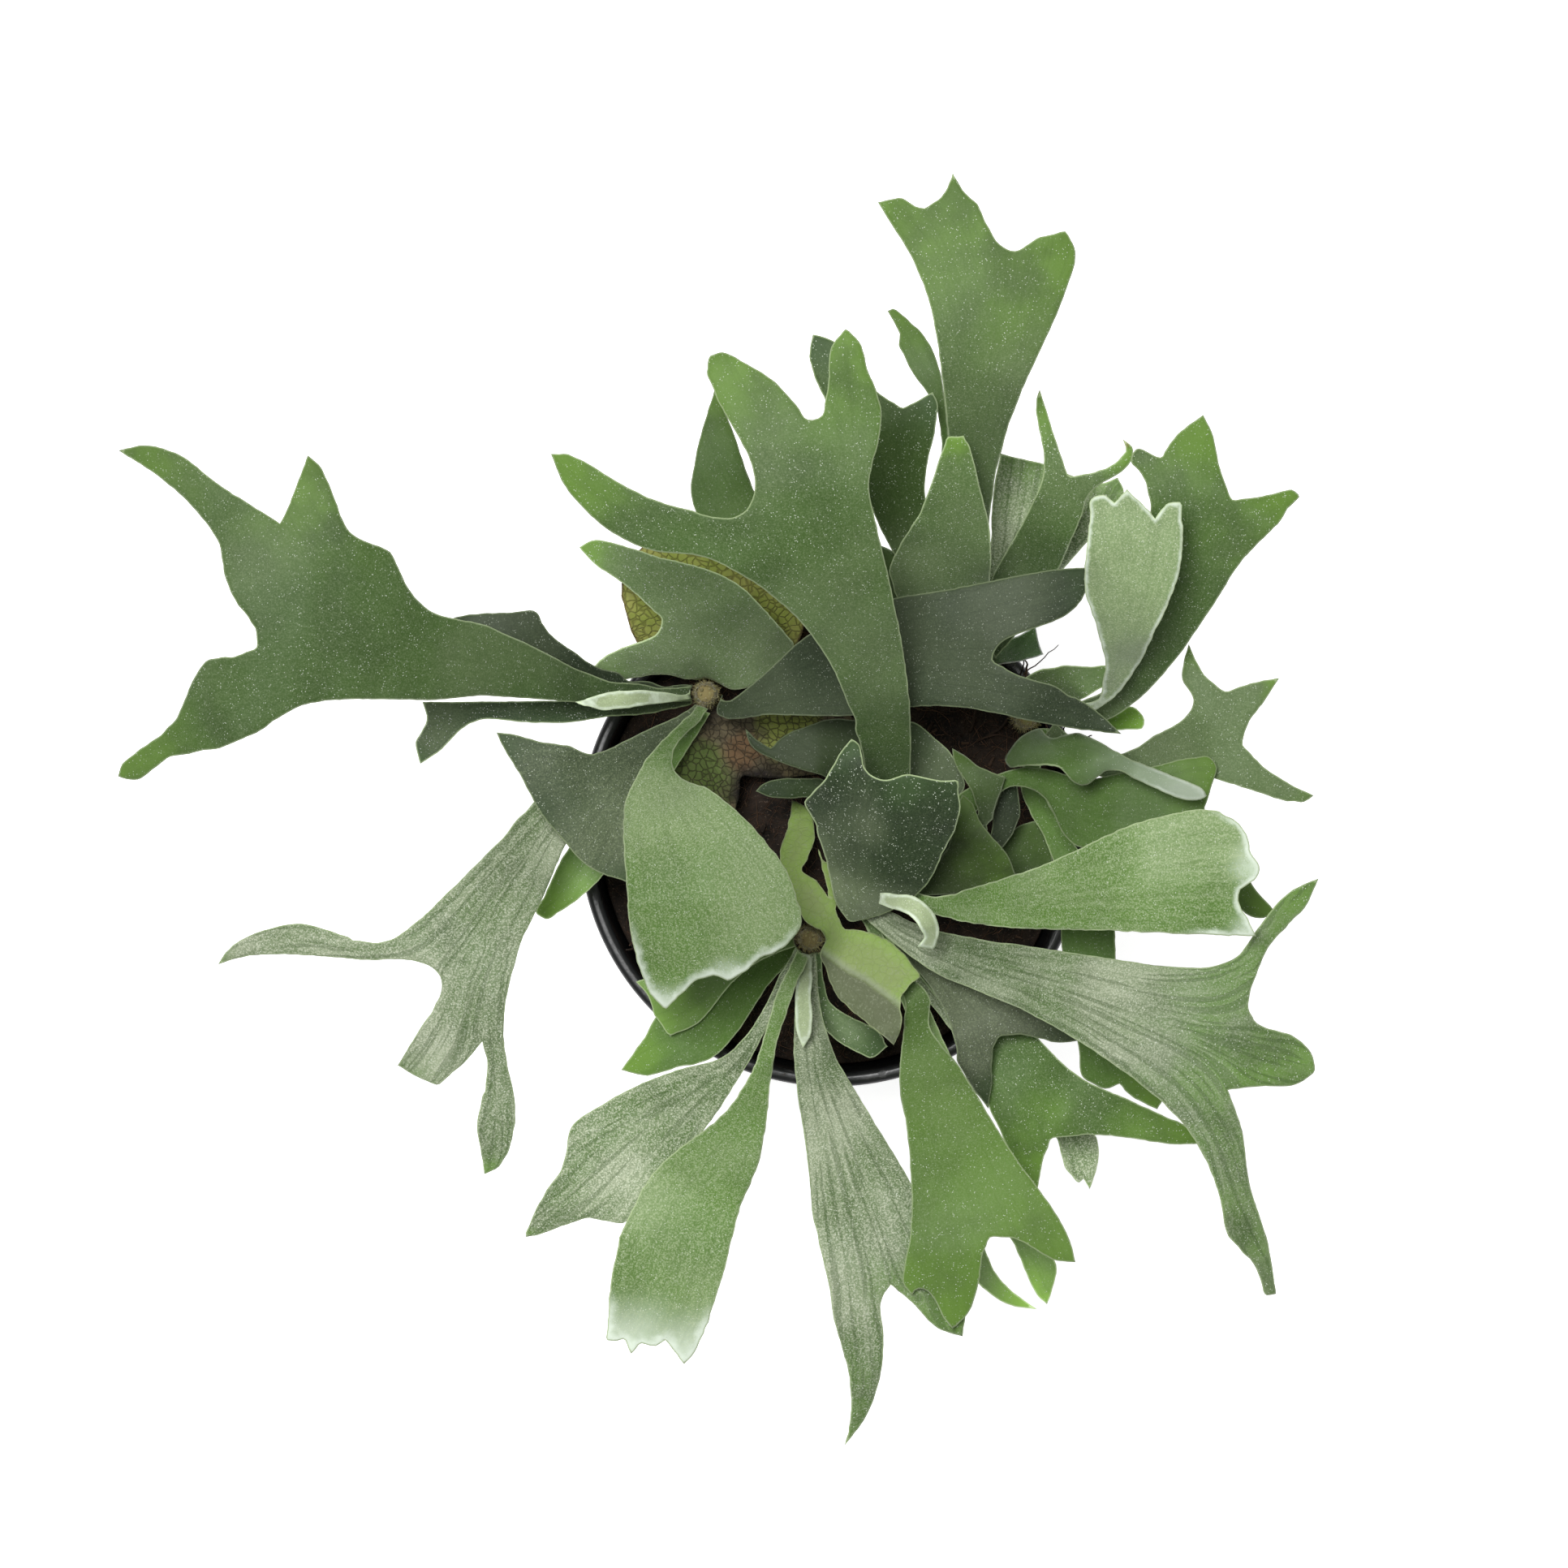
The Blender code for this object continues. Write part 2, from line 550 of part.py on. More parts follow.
blade("frond_south_east_tab", "centre", "velvet",
      [(12, -24, 6), (40, -57, 20), (68, -86, 32), (80, -113, 28)],
      [(14, -24), (45, -59), (66, -80), (78, -90), (84, -97), (84.8, -104), (82, -114),
       (80, -110.5), (78.5, -111.7), (74, -106.5), (71.5, -98), (62, -88), (40, -66), (9, -25)])
blade("frond_south_east_green", "centre", "mature",
      [(12, -24, 10), (36, -52, 30), (62, -78, 42), (90, -90, 48), (119, -99, 42)],
      [(14, -23), (32, -40), (52, -55), (64, -64), (72, -72), (80, -78.5), (92, -84), (105, -90),
       (115, -95), (119.5, -99), (110, -99.5), (95, -97.5), (80, -96.3), (69.5, -97.8),
       (67.5, -103), (66, -111), (65, -116), (60, -108), (50, -88), (42, -66), (26, -44),
       (10, -25)])
blade("frond_south_east_grey", "centre", "dark",
      [(12, -24, 16), (32, -43, 36), (48, -60, 48), (50, -88, 42)],
      [(14, -23), (30, -36), (55, -46), (78, -58), (79, -66), (72, -66.8), (60, -64.2),
       (53, -65), (51, -68.5), (50.5, -80), (49.3, -88), (45, -82), (39.5, -71), (37, -60),
       (29, -46.5), (10, -25)])


# ---------------------------------------------------------------- southern blades

blade("frond_south_west_green", "south", "mature",
      [(-12, -35, 14), (-30, -52, 26), (-50, -66, 34), (-68, -75.5, 28)],
      [(-11, -32), (-30, -44), (-48, -54), (-57, -58), (-61, -65), (-68.5, -75.5), (-60, -77.3),
       (-50, -74.5), (-41, -72.5), (-31, -63), (-22, -49), (-10, -37)])
blade("frond_south_west_small", "south", "bright",
      [(-12, -33, 20), (-32, -43, 32), (-57, -54, 38)],
      [(-11, -31), (-30, -36), (-50, -42), (-64, -47.3), (-60, -52), (-58, -58), (-53, -64.5),
       (-44, -60.5), (-36, -51), (-28, -43), (-11, -35)])
blade("frond_south_rounded", "south", "mature",
      [(-6, -39, 14), (-4, -54, 22), (5, -65, 26), (17, -68, 24)],
      [(-8, -37), (-9, -50), (-5, -60), (2, -67), (11, -71.7), (17, -68), (14, -63), (6, -59),
       (-2, -53), (-4, -38)])
blade("frond_south_hidden", "centre", "mature",
      [(11, -25, 12), (32, -68, 40), (48, -110, 54), (64, -150, 46)],
      [(13, -24), (30, -55), (45, -90), (57, -120), (64, -131), (71, -137), (71, -142),
       (68.3, -151), (66, -149), (62, -142), (57, -130.5), (51, -123), (47, -129), (52, -141),
       (57, -146.5), (65.3, -152.7), (58, -151.5), (46.5, -144.5), (40, -130), (34, -100),
       (24, -60), (8, -25)])
blade("frond_south_long", "south", "grey",
      [(-8, -39, 22), (-7, -65, 46), (-1, -100, 74), (7, -140, 90), (4, -196, 76)],
      [(-10.5, -37), (-12.8, -55), (-12.8, -75), (-11, -89), (-8.5, -106), (-6.5, -125),
       (-2.5, -142), (0, -157), (4.5, -173), (5, -187), (3.5, -196.5), (11, -185), (15.3, -170),
       (15.5, -158), (14.8, -150), (18, -144.7), (25, -150.5), (33, -158.5), (41, -161),
       (42, -150), (34, -130), (24.3, -112), (16, -98), (6, -81.5), (-1, -68), (-5, -52),
       (-6, -37)])
blade("frond_south_bud_leaf", "south", "white",
      [(-9, -39, 28), (-10.5, -52, 46), (-10, -69, 54)],
      [(-10.5, -36), (-12.5, -50), (-12.5, -62), (-10.5, -69), (-7.5, -64), (-7.5, -52),
       (-7.5, -36)])
blade("frond_south_west_streaked", "south", "grey",
      [(-11, -37, 22), (-24, -62, 44), (-45, -86, 66), (-72, -106, 78), (-99, -129, 66)],
      [(-12, -35), (-20, -50), (-28, -64), (-38, -72.5), (-48, -75), (-62, -80), (-76, -87.5),
       (-84.7, -94), (-86.2, -101), (-88, -108), (-92.5, -114), (-98.5, -126), (-100, -129.5),
       (-93, -127.8), (-80, -123.2), (-67, -124), (-56, -112), (-40, -92), (-26, -70),
       (-10, -37)])
blade("frond_south_velvet", "south", "velvet",
      [(-10, -38, 27), (-19, -60, 54), (-30, -90, 86), (-47, -125, 108), (-60, -166, 102)],
      [(-12, -37), (-18, -50), (-23, -66), (-28, -79), (-38, -92), (-50, -101), (-60, -111),
       (-67, -124), (-71, -138), (-72.7, -152), (-73, -162.5), (-70, -162.8), (-68, -162),
       (-65.5, -167), (-62, -163.5), (-57.5, -164.3), (-54.5, -162.3), (-51.5, -166),
       (-48.5, -170.3), (-45, -166), (-40, -154), (-35, -138), (-30.5, -120), (-25, -107),
       (-22, -92), (-20, -74), (-15, -55), (-9, -38)])
blade("frond_south_front", "centre", "mature",
      [(9, -25, 18), (20, -44, 38), (30, -72, 66), (38, -100, 88), (46, -130, 96), (40, -158, 88)],
      [(12, -23), (22, -44), (28, -49), (31, -54), (30.5, -61), (40, -74.5), (50, -91),
       (60, -106.5), (70, -120), (76, -131.5), (77.3, -137.3), (70, -136.5), (64, -133),
       (57, -129.7), (50, -129.6), (47.5, -135), (46.5, -143), (42.5, -154), (38, -158.7),
       (35, -155), (30, -146.5), (27, -146), (25, -147.5), (22.5, -145), (24.3, -130),
       (24.8, -115), (23, -93), (20.7, -78), (22.5, -62), (22, -52), (14, -36), (7, -25)])


# ---------------------------------------------------------------- eastern blades

blade("frond_east_great_low", "east", "mature",
      [(72, 40, 24), (90, 46, 54), (108, 74, 90), (122, 104, 108), (135, 125, 104)],
      [(71, 41), (86, 46), (94, 62), (99, 80), (101.5, 100), (100, 114), (95.3, 120), (97, 124.2),
       (105.5, 122), (108.5, 127), (118.5, 135), (121.3, 129.5), (124, 117.5), (128, 108),
       (135, 108.5), (147, 111.2), (149.5, 108.8), (142.5, 100), (131.5, 89), (124, 77.5),
       (115, 64), (105, 51), (95, 41.5), (88, 37), (72, 36)])
blade("frond_east_forked", "east", "grey",
      [(71, 34, 20), (93, 24, 44), (115, 34, 66), (134, 40, 68)],
      [(71, 36), (82, 28), (93, 26.2), (103, 32), (114, 39), (115.5, 43.5), (112, 50),
       (112.5, 56), (114, 61.3), (119, 51.5), (125.5, 46.2), (135, 49), (143, 50.5),
       (137.5, 42), (132.5, 35), (131.3, 29), (139, 21), (154, 12.8), (151, 10.8), (140, 12.5),
       (122, 18.3), (108, 20), (92, 18), (78, 22), (68, 32)])
blade("frond_east_wavy", "east", "mature",
      [(64, 33, 22), (72, 27, 42), (88, 25, 66), (106, 18, 80), (120, 12.5, 82)],
      [(66, 34), (70, 30.5), (79, 32.3), (86, 29), (96, 24), (110, 18.5), (119, 14), (120, 12),
       (115, 11), (104, 14.5), (92, 20), (87.5, 21), (82, 16.5), (77.5, 17), (72, 21.5),
       (65, 22), (57, 21.5), (55, 24), (60, 31)])
blade("frond_south_east_great", "centre", "grey",
      [(13, -23, 22), (32, -36, 42), (60, -48, 70), (95, -62, 92), (125, -69, 98), (153, -75, 92)],
      [(14, -22), (22, -27), (33, -31), (50, -34), (70, -37), (90, -40), (110, -42.5),
       (123, -42), (130, -38.5), (136, -30), (146, -18.5), (155.5, -14), (151, -23.5),
       (141, -34), (136, -44), (133.5, -57), (137, -61.3), (146, -64), (153, -70),
       (154.5, -76), (148, -80.3), (137, -80.8), (126.4, -82), (131, -95), (133.3, -112),
       (139, -130), (142, -147.5), (139, -148), (134, -137), (126, -128), (124.5, -120),
       (120, -106), (110, -90.5), (100, -81.5), (90, -74), (78, -66), (60, -56), (37.8, -47),
       (28, -42), (10, -27)], arch=260)
blade("frond_east_velvet", "centre", "velvet",
      [(14, -20, 26), (32, -23, 48), (60, -21, 82), (95, -13, 106), (132, -14, 108)],
      [(14, -17.5), (26, -18.5), (33, -20), (45, -17), (65, -10.5), (80, -4), (95, 3), (110, 7),
       (119, 8), (128, 5), (133, -1), (134, -6), (136.5, -10), (135, -14.5), (130.5, -17.5),
       (130, -21), (133, -27), (135.5, -32.5), (128, -32.3), (110, -31.7), (85, -30.5),
       (60, -30), (40, -27.5), (29, -24.5), (14, -22)], arch=80)
blade("shield_south", "south", "velvet",
      [(-5, -31, 32), (5, -38, 48), (20, -49, 54)],
      [(-9, -29), (-14, -18), (-17.5, -7), (-15, 2), (-13.7, 10.5), (-9, 8), (-6.2, 0), (-8, -7),
       (-10.5, -12), (-5, -16), (-1.5, -21.5), (-3.5, -14), (-5.2, -5), (-3, -9), (0.5, -10.3),
       (2.7, -15), (0.7, -24), (4, -30.5), (13, -32), (22, -38), (27, -46), (21.5, -52.5),
       (22, -60), (19, -67), (10, -60), (0, -50), (-4, -38)],
      arch=24, thickness=SHIELD_THICKNESS)


# ---------------------------------------------------------------- northern blades

blade("frond_north_west_triangle", "north", "dark",
      [(42, 60, 18), (12, 84, 56), (-24, 104, 76), (-38, 122, 82), (-38.5, 143.5, 80)],
      [(43, 57), (44, 61), (20, 90), (-8, 102), (-24, 108), (-28, 116), (-32, 128),
       (-38.5, 143.5), (-41.5, 134), (-46, 115), (-46, 108), (-40, 98), (-20, 91), (5, 80)])
blade("frond_north_hidden", "north", "mature",
      [(43, 61, 20), (29, 92, 52), (18, 125, 72), (14, 150, 76)],
      [(43, 60), (36, 80), (30, 98), (30, 121), (33.2, 138), (31.5, 142.5), (26.5, 139.8),
       (22, 137.5), (16, 141), (10, 146), (-0.5, 159), (-7, 161), (-8, 152.5), (-3, 140),
       (4, 125), (14, 100), (28, 75), (40, 58)])
blade("frond_north_tip", "north", "mature",
      [(44, 62, 16), (38, 100, 46), (32, 142, 66), (19, 168, 62)],
      [(46, 62), (40, 90), (37, 120), (35.5, 140), (31, 157), (25, 164.5), (19, 169.3),
       (17, 168.5), (21, 161), (21, 157.5), (26.5, 146.5), (33, 137), (34, 115), (36, 85),
       (41, 60)])
blade("frond_north_grey", "north", "grey",
      [(50, 61, 18), (62, 96, 50), (68, 114, 56), (88, 112, 54)],
      [(48, 62), (50.3, 95), (51, 110), (53.5, 122.7), (60, 121), (67, 119.5), (78, 115),
       (85, 113), (91, 115), (93, 110), (86, 100), (70, 82), (53, 60)])
blade("frond_north_tall", "north", "mature",
      [(46, 62, 26), (46, 95, 64), (46, 125, 96), (47, 155, 118), (50, 200, 124)],
      [(49, 62), (49, 85), (52, 118), (61, 145), (68, 160), (76, 180), (77.3, 188), (74, 194.3),
       (65, 192), (58, 188.3), (53, 190), (46, 203), (42, 206.5), (38, 213), (35, 206),
       (31, 203), (26, 202.5), (22, 204.8), (14, 203.5), (19, 195.5), (25, 185.5), (30, 173),
       (34, 152), (36, 134), (38, 110), (42, 85), (44, 62)], arch=120)
blade("frond_north_slender", "north", "mature",
      [(49, 61, 24), (58, 80, 52), (68, 108, 84), (66, 143, 92)],
      [(48, 61), (50.5, 82), (58, 96), (64, 108), (67.2, 117), (66.5, 127), (64.8, 137),
       (66, 143.5), (68, 137), (72.5, 123), (75, 116), (85, 117.3), (91, 120.5), (93.5, 123.5),
       (92.5, 127.5), (96, 124), (95, 120), (90, 115.5), (84, 112), (80, 104), (74, 90),
       (64, 72), (52, 57)])
blade("frond_north_front", "north", "mature",
      [(43, 61, 32), (36, 82, 68), (38, 104, 94), (40, 128, 108)],
      [(47, 62), (50, 81.5), (50, 98.5), (47, 111), (43, 126), (41.5, 128.5), (36.5, 128.5),
       (33.5, 121), (27.5, 104), (22, 95.5), (17.8, 83.8), (24, 72), (34, 63), (42, 59)])


# ---------------------------------------------------------------- western blades

blade("frond_north_west_lobed", "west", "grey",
      [(-42, 50, 22), (-46, 66, 42), (-50, 88, 52)],
      [(-43, 49), (-54, 52), (-63, 51.3), (-72, 49.8), (-80.3, 50.6), (-75.7, 56.4),
       (-67.5, 61), (-57, 65.5), (-55.5, 69.5), (-61, 75), (-68, 81), (-77, 87), (-82, 92.5),
       (-78, 94.7), (-69, 93.4), (-57, 89.7), (-44, 86.7), (-33, 82), (-24, 74.5),
       (-13.5, 62), (-20, 53), (-29, 47.5), (-38, 48)], arch=110)
blade("frond_south_west_forked", "west", "grey",
      [(-45, 41, 18), (-68, 26, 36), (-95, 2, 54), (-118, -32, 74), (-134, -76, 70)],
      [(-43, 43), (-60, 30), (-78, 22), (-96, 11), (-106, 0), (-115, -9.5), (-125, -19),
       (-139, -31.5), (-147, -34.6), (-158, -32.3), (-171.5, -28.5), (-182, -30.3),
       (-190, -33.3), (-195.5, -37.5), (-198, -41.5), (-188, -38.8), (-170, -38.7),
       (-150, -40.3), (-133, -41), (-127, -45.5), (-126.8, -51), (-133, -61.5), (-140.5, -74),
       (-134, -78), (-128, -80.3), (-120, -74), (-113.5, -66.5), (-112, -72), (-112.3, -80),
       (-115.2, -93.5), (-114, -101), (-112.8, -109), (-108, -106.5), (-104, -98),
       (-102.8, -87), (-105, -75), (-106.5, -63), (-104.5, -47), (-100, -33), (-93, -18),
       (-87, -4), (-75, 14), (-58, 27), (-42, 39)])
blade("frond_south_west_dusky", "west", "dark",
      [(-45, 42, 24), (-60, 33, 44), (-78, 20, 62), (-98, 20, 66)],
      [(-43, 43), (-50, 38.5), (-60, 34), (-70, 29), (-78, 26), (-85, 28.5), (-95, 30),
       (-104, 32.5), (-108.7, 32.9), (-106, 27), (-101, 19), (-95, 7.5), (-87, -2),
       (-82, -8), (-75, -12.5), (-66, -15), (-60, -8), (-60, 8), (-61, 20), (-57, 28),
       (-50, 34), (-42, 40)])
blade("frond_west_great", "west", "mature",
      [(-46, 46, 26), (-80, 47, 60), (-115, 55, 90), (-150, 65, 110), (-190, 76, 116),
       (-230, 74, 100)],
      [(-43, 48), (-73, 49.5), (-92, 58), (-114, 68), (-130, 72), (-138, 80.5), (-143.3, 91),
       (-150, 94), (-156, 97.5), (-161, 108.5), (-166, 119), (-169.5, 122), (-173, 113),
       (-176.5, 104), (-178.5, 100.2), (-189, 107), (-200, 114), (-210, 122), (-222, 125.3),
       (-230, 123.5), (-222, 118.5), (-212, 111), (-203, 101.5), (-197.5, 92), (-196.2, 84),
       (-192.5, 75), (-186.5, 66.5), (-186, 60.5), (-193, 57.5), (-201, 56.5), (-207, 48),
       (-212, 37), (-220, 30), (-229.5, 22), (-230.5, 19), (-224, 18), (-214.5, 24.8),
       (-200, 27.5), (-186, 33), (-173, 41.3), (-155, 43.8), (-130, 43.5), (-114, 44.9),
       (-83, 42.7), (-43, 43)], arch=200)
blade("frond_west_bud_leaf", "west", "white",
      [(-46, 45, 31), (-60, 44, 52), (-83, 42, 70)],
      [(-44, 47), (-50, 45.5), (-63, 46.7), (-76, 45), (-83.5, 42.5), (-80, 41), (-70, 40.5),
       (-55, 42.5), (-44, 44)])
blade("frond_south_west_velvet", "west", "velvet",
      [(-44, 41, 27), (-53, 30, 52), (-58, 14, 74), (-46, -12, 90), (-40, -52, 84)],
      [(-42, 44), (-49, 36.5), (-55, 30.5), (-61.5, 23), (-66.5, 13), (-67.8, 2), (-67, -12),
       (-66, -28), (-62.5, -43), (-58.5, -52), (-54, -56), (-52, -54), (-48, -50), (-39, -45),
       (-34.5, -46.5), (-28, -43), (-24, -39.5), (-19, -37.5), (-13.5, -33), (-11, -29),
       (-12.5, -20), (-16, -11), (-23, -1.5), (-32, 8), (-42, 15), (-50, 18.5), (-52.5, 23),
       (-50, 30), (-44.5, 35.5), (-40, 41)], arch=70)


# ---------------------------------------------------------------- blades on top of the clump

blade("frond_east_dark", "west", "dark",
      [(-37, 42, 26), (-22, 46, 44), (0, 53, 62), (25, 60, 76), (50, 66, 84), (72, 62, 84),
       (92, 45, 78)],
      [(-40, 44), (-34.5, 43.3), (-27, 48), (-18, 56), (-8, 64.7), (5, 71), (18.7, 76),
       (33, 78.4), (50, 81.6), (70, 85.3), (82, 86), (81, 79), (75, 71), (60, 65), (52, 60),
       (51, 56.5), (58, 52), (72, 47.5), (86, 38.5), (92.3, 32.5), (78, 34.2), (60, 37.5),
       (43, 41), (24, 41.4), (4.5, 38.5), (-21.6, 38.7), (-34.5, 37.8), (-40, 41)], arch=130)
blade("frond_east_young", "east", "velvet",
      [(72, 39, 30), (85, 44, 58), (85, 62, 92), (94, 84, 118), (98, 110, 124)],
      [(71, 41), (80, 42.5), (85, 44), (87, 55), (84.5, 67), (80.8, 79), (81, 92), (83.3, 109),
       (87.5, 109.3), (90, 107), (94, 111.3), (99, 106.5), (103, 102), (107.5, 107),
       (111, 107.2), (112, 98), (110.5, 83), (105, 69.5), (98, 56), (91, 46), (85, 41),
       (72, 36)])
blade("frond_north_great", "centre", "mature",
      [(10, -13, 26), (16, 5, 42), (18, 25, 62), (17, 50, 92), (12, 82, 118), (2, 118, 134),
       (2, 162, 132)],
      [(-91, 122.5), (-85.5, 122.5), (-75, 117), (-60, 108.7), (-45.5, 104.5), (-33, 102.2),
       (-27, 107), (-26, 116.5), (-32, 130), (-41, 149), (-40, 154), (-36, 155.2),
       (-30, 152.4), (-19, 145.5), (-8.5, 133.5), (-4, 135), (-2, 146), (-1, 157),
       (3.5, 162.7), (8, 158.5), (10.5, 150), (14.7, 138.5), (14, 126), (11, 114),
       (12.5, 104), (17.8, 81), (22.8, 54), (24.6, 30.5), (22, 5), (12, -14), (7, -14),
       (9, 5), (9.5, 23), (6.3, 36), (1.3, 50), (-8.5, 66), (-18, 75.5), (-30, 84),
       (-44, 90), (-58, 91.5), (-70, 96.5), (-80, 104.5), (-87, 113)], arch=220)
blade("frond_centre_dark", "centre", "dark",
      [(9, -24, 34), (14, -6, 62), (18, 14, 84)],
      [(5, -27.8), (14, -25.5), (22, -22), (30, -15), (34.5, -6), (38.5, 2), (40.7, 12),
       (39.5, 17.3), (31, 18.2), (23, 19.8), (16, 18), (9.8, 21.8), (8, 29), (5.5, 30.8),
       (3, 28), (0, 23), (-4, 17.5), (-9.5, 11), (-6, 3), (-2, -10), (1, -22)], arch=55)
blade("frond_centre_bud_leaf", "centre", "white",
      [(14, -21, 30), (24, -22.5, 50), (30.5, -28, 58), (29, -36, 56)],
      [(13, -18.5), (21, -19), (26, -20), (32, -26), (33.3, -31), (31.5, -36.4), (26.5, -35.5),
       (28.5, -32.5), (25, -27), (20, -24), (13, -22)])
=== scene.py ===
# %% [markdown]
# A staghorn fern in its nursery pot, seen from straight above.  The real plant is a clump of
# leathery fronds that fork like antlers.  They spring from five woolly buds on a ball of coir, and
# two old papery shields lie flat on the coir.  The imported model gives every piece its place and
# size, and this script gives each one its real surface.

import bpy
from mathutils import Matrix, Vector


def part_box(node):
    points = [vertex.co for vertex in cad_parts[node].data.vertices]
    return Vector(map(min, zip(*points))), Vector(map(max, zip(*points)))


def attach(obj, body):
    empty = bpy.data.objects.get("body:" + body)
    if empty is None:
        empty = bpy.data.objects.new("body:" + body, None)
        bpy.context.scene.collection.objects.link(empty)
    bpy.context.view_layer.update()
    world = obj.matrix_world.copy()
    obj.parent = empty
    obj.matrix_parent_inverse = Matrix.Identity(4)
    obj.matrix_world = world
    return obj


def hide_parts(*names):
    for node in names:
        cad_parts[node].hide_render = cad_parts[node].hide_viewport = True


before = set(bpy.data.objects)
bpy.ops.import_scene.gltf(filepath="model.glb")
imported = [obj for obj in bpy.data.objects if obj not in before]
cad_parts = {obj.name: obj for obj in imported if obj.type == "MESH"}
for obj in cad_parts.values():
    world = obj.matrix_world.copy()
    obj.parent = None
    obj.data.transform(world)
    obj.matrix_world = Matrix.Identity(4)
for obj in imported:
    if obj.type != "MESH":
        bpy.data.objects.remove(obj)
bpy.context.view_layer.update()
print("pieces in the frame:", len(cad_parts))

# %% Tools and units
import heapq
import math

import bmesh
import bpy
import numpy as np
from mathutils import Vector, geometry, noise
from mathutils.bvhtree import BVHTree
from mathutils.kdtree import KDTree

MM = 0.001
rng = np.random.default_rng(7)

# %% [markdown]
# The eye hangs straight above the plant, a little to the left of the pot and behind it, with a long
# lens.  Straight down keeps every outline true, and the long lens keeps the tall fronds from
# swelling against the low ones.

# %% Camera
EYE = (-16.3 * MM, 16.4 * MM, 1690 * MM)
LENS = 107.05
SENSOR = 36

lens = bpy.data.cameras.new("eye")
lens.lens = LENS
lens.sensor_width = SENSOR
lens.clip_end = 20
camera = bpy.data.objects.new("eye", lens)
camera.location = EYE
bpy.context.scene.collection.objects.link(camera)
bpy.context.scene.camera = camera
print("eye height in metres:", EYE[2])

# %% [markdown]
# The light is that of a plain studio tent: white from all round, with one large soft lamp high
# above the plant, close to the line of sight.  Light from there reaches the low fronds as well as
# the high ones, and the shadows fall where the fronds hide them.  The Standard view keeps whites
# white and the greens as they are set.

# %% Light
SKY_STRENGTH = 0.38
LAMP_POWER = 56.0
LAMP_SIZE = 0.8
LAMP_PLACE = (-0.34, 0.40, 2.35)
LAMP_AIM = Vector((0.0, 0.0, 0.2))

scene = bpy.context.scene
scene.view_settings.view_transform = "Standard"
world = bpy.data.worlds.new("tent")
world.use_nodes = True
world.node_tree.nodes["Background"].inputs["Color"].default_value = (1.0, 1.0, 1.0, 1.0)
world.node_tree.nodes["Background"].inputs["Strength"].default_value = SKY_STRENGTH
scene.world = world

lamp_data = bpy.data.lights.new("soft_lamp", "AREA")
lamp_data.shape = "DISK"
lamp_data.size = LAMP_SIZE
lamp_data.energy = LAMP_POWER
lamp = bpy.data.objects.new("soft_lamp", lamp_data)
lamp.location = LAMP_PLACE
lamp.rotation_euler = (LAMP_AIM - Vector(LAMP_PLACE)).to_track_quat("-Z", "Y").to_euler()
scene.collection.objects.link(lamp)
print("lamp power in watts:", LAMP_POWER)

# %% [markdown]
# A finish is a tree of shader nodes.  Written out link by link it is hard to read, so a small class
# wraps one socket: adding or multiplying two of them adds a Math node, and any other node comes
# from one method.  Colours go through a Mix node instead, because a Math node turns them grey.

# %% The shader class
class Field:
    """A value that varies over a surface: one socket of the finish that is being written."""

    tree = None

    def __init__(self, socket):
        self.socket = socket

    @classmethod
    def node(cls, kind, settings=None, sockets=None, out=0):
        """Add a node: first its settings, then values or links for its sockets."""
        node = cls.tree.nodes.new(kind)
        for name, value in (settings or {}).items():
            setattr(node, name, value)
        for name, value in (sockets or {}).items():
            if isinstance(value, Field):
                cls.tree.links.new(value.socket, node.inputs[name])
            else:
                node.inputs[name].default_value = value
        return cls(node.outputs[out])

    def math(self, operation, *others):
        values = (self, *others)
        return Field.node("ShaderNodeMath", {"operation": operation}, dict(enumerate(values)))

    def __add__(self, other):
        return self.math("ADD", other)

    def __mul__(self, other):
        return self.math("MULTIPLY", other)

    def __sub__(self, other):
        return self.math("SUBTRACT", other)

    def __pow__(self, other):
        return self.math("POWER", other)

    def __rsub__(self, other):
        return (self * -1.0) + other

    def __rpow__(self, other):
        return Field.node("ShaderNodeMath", {"operation": "POWER"}, {0: other, 1: self})

    __radd__ = __add__
    __rmul__ = __mul__

    def ramp(self, low, high):
        """A smooth step from 0 at low to 1 at high."""
        return Field.node("ShaderNodeMapRange", {"interpolation_type": "SMOOTHSTEP"},
                          {"Value": self, "From Min": low, "From Max": high})


print("operators on a field: + - * ** and their reflected forms")

# %% Helpers on fields
def attribute(name):
    """A number that each point of the mesh carries."""
    return Field.node("ShaderNodeAttribute", {"attribute_name": name}, out=2)


def place():
    """Where a point is on the object, in metres."""
    return Field.node("ShaderNodeTexCoord", out=3)


def vector(x, y, z=0.0):
    return Field.node("ShaderNodeCombineXYZ", {}, {0: x, 1: y, 2: z})


def grain(where, scale, detail=2.0, roughness=0.5):
    """Cloudy noise between 0 and 1, with that many features a metre."""
    return Field.node("ShaderNodeTexNoise", {},
                      {"Vector": where, "Scale": scale, "Detail": detail, "Roughness": roughness})


def cells(where, scale, feature="F1"):
    """Distance from the nearest of many scattered points, or from the border between two cells."""
    return Field.node("ShaderNodeTexVoronoi", {"feature": feature},
                      {"Vector": where, "Scale": scale})


def part_of(where, which):
    """One coordinate of a place: 0, 1 or 2."""
    return Field.node("ShaderNodeSeparateXYZ", {}, {0: where}, out=which)


def spot(where, x, y, reach):
    """A soft round spot over a plan place, in millimetres: 1 in the middle, 0 beyond its reach."""
    away_x = part_of(where, 0) * (1 / MM) - x
    away_y = part_of(where, 1) * (1 / MM) - y
    apart = (away_x * away_x + away_y * away_y) ** 0.5
    wobble = (grain(where, 120.0, 3.0) - 0.5) * (1.1 * reach)
    return 1.0 - (apart + wobble).ramp(0.45 * reach, reach)


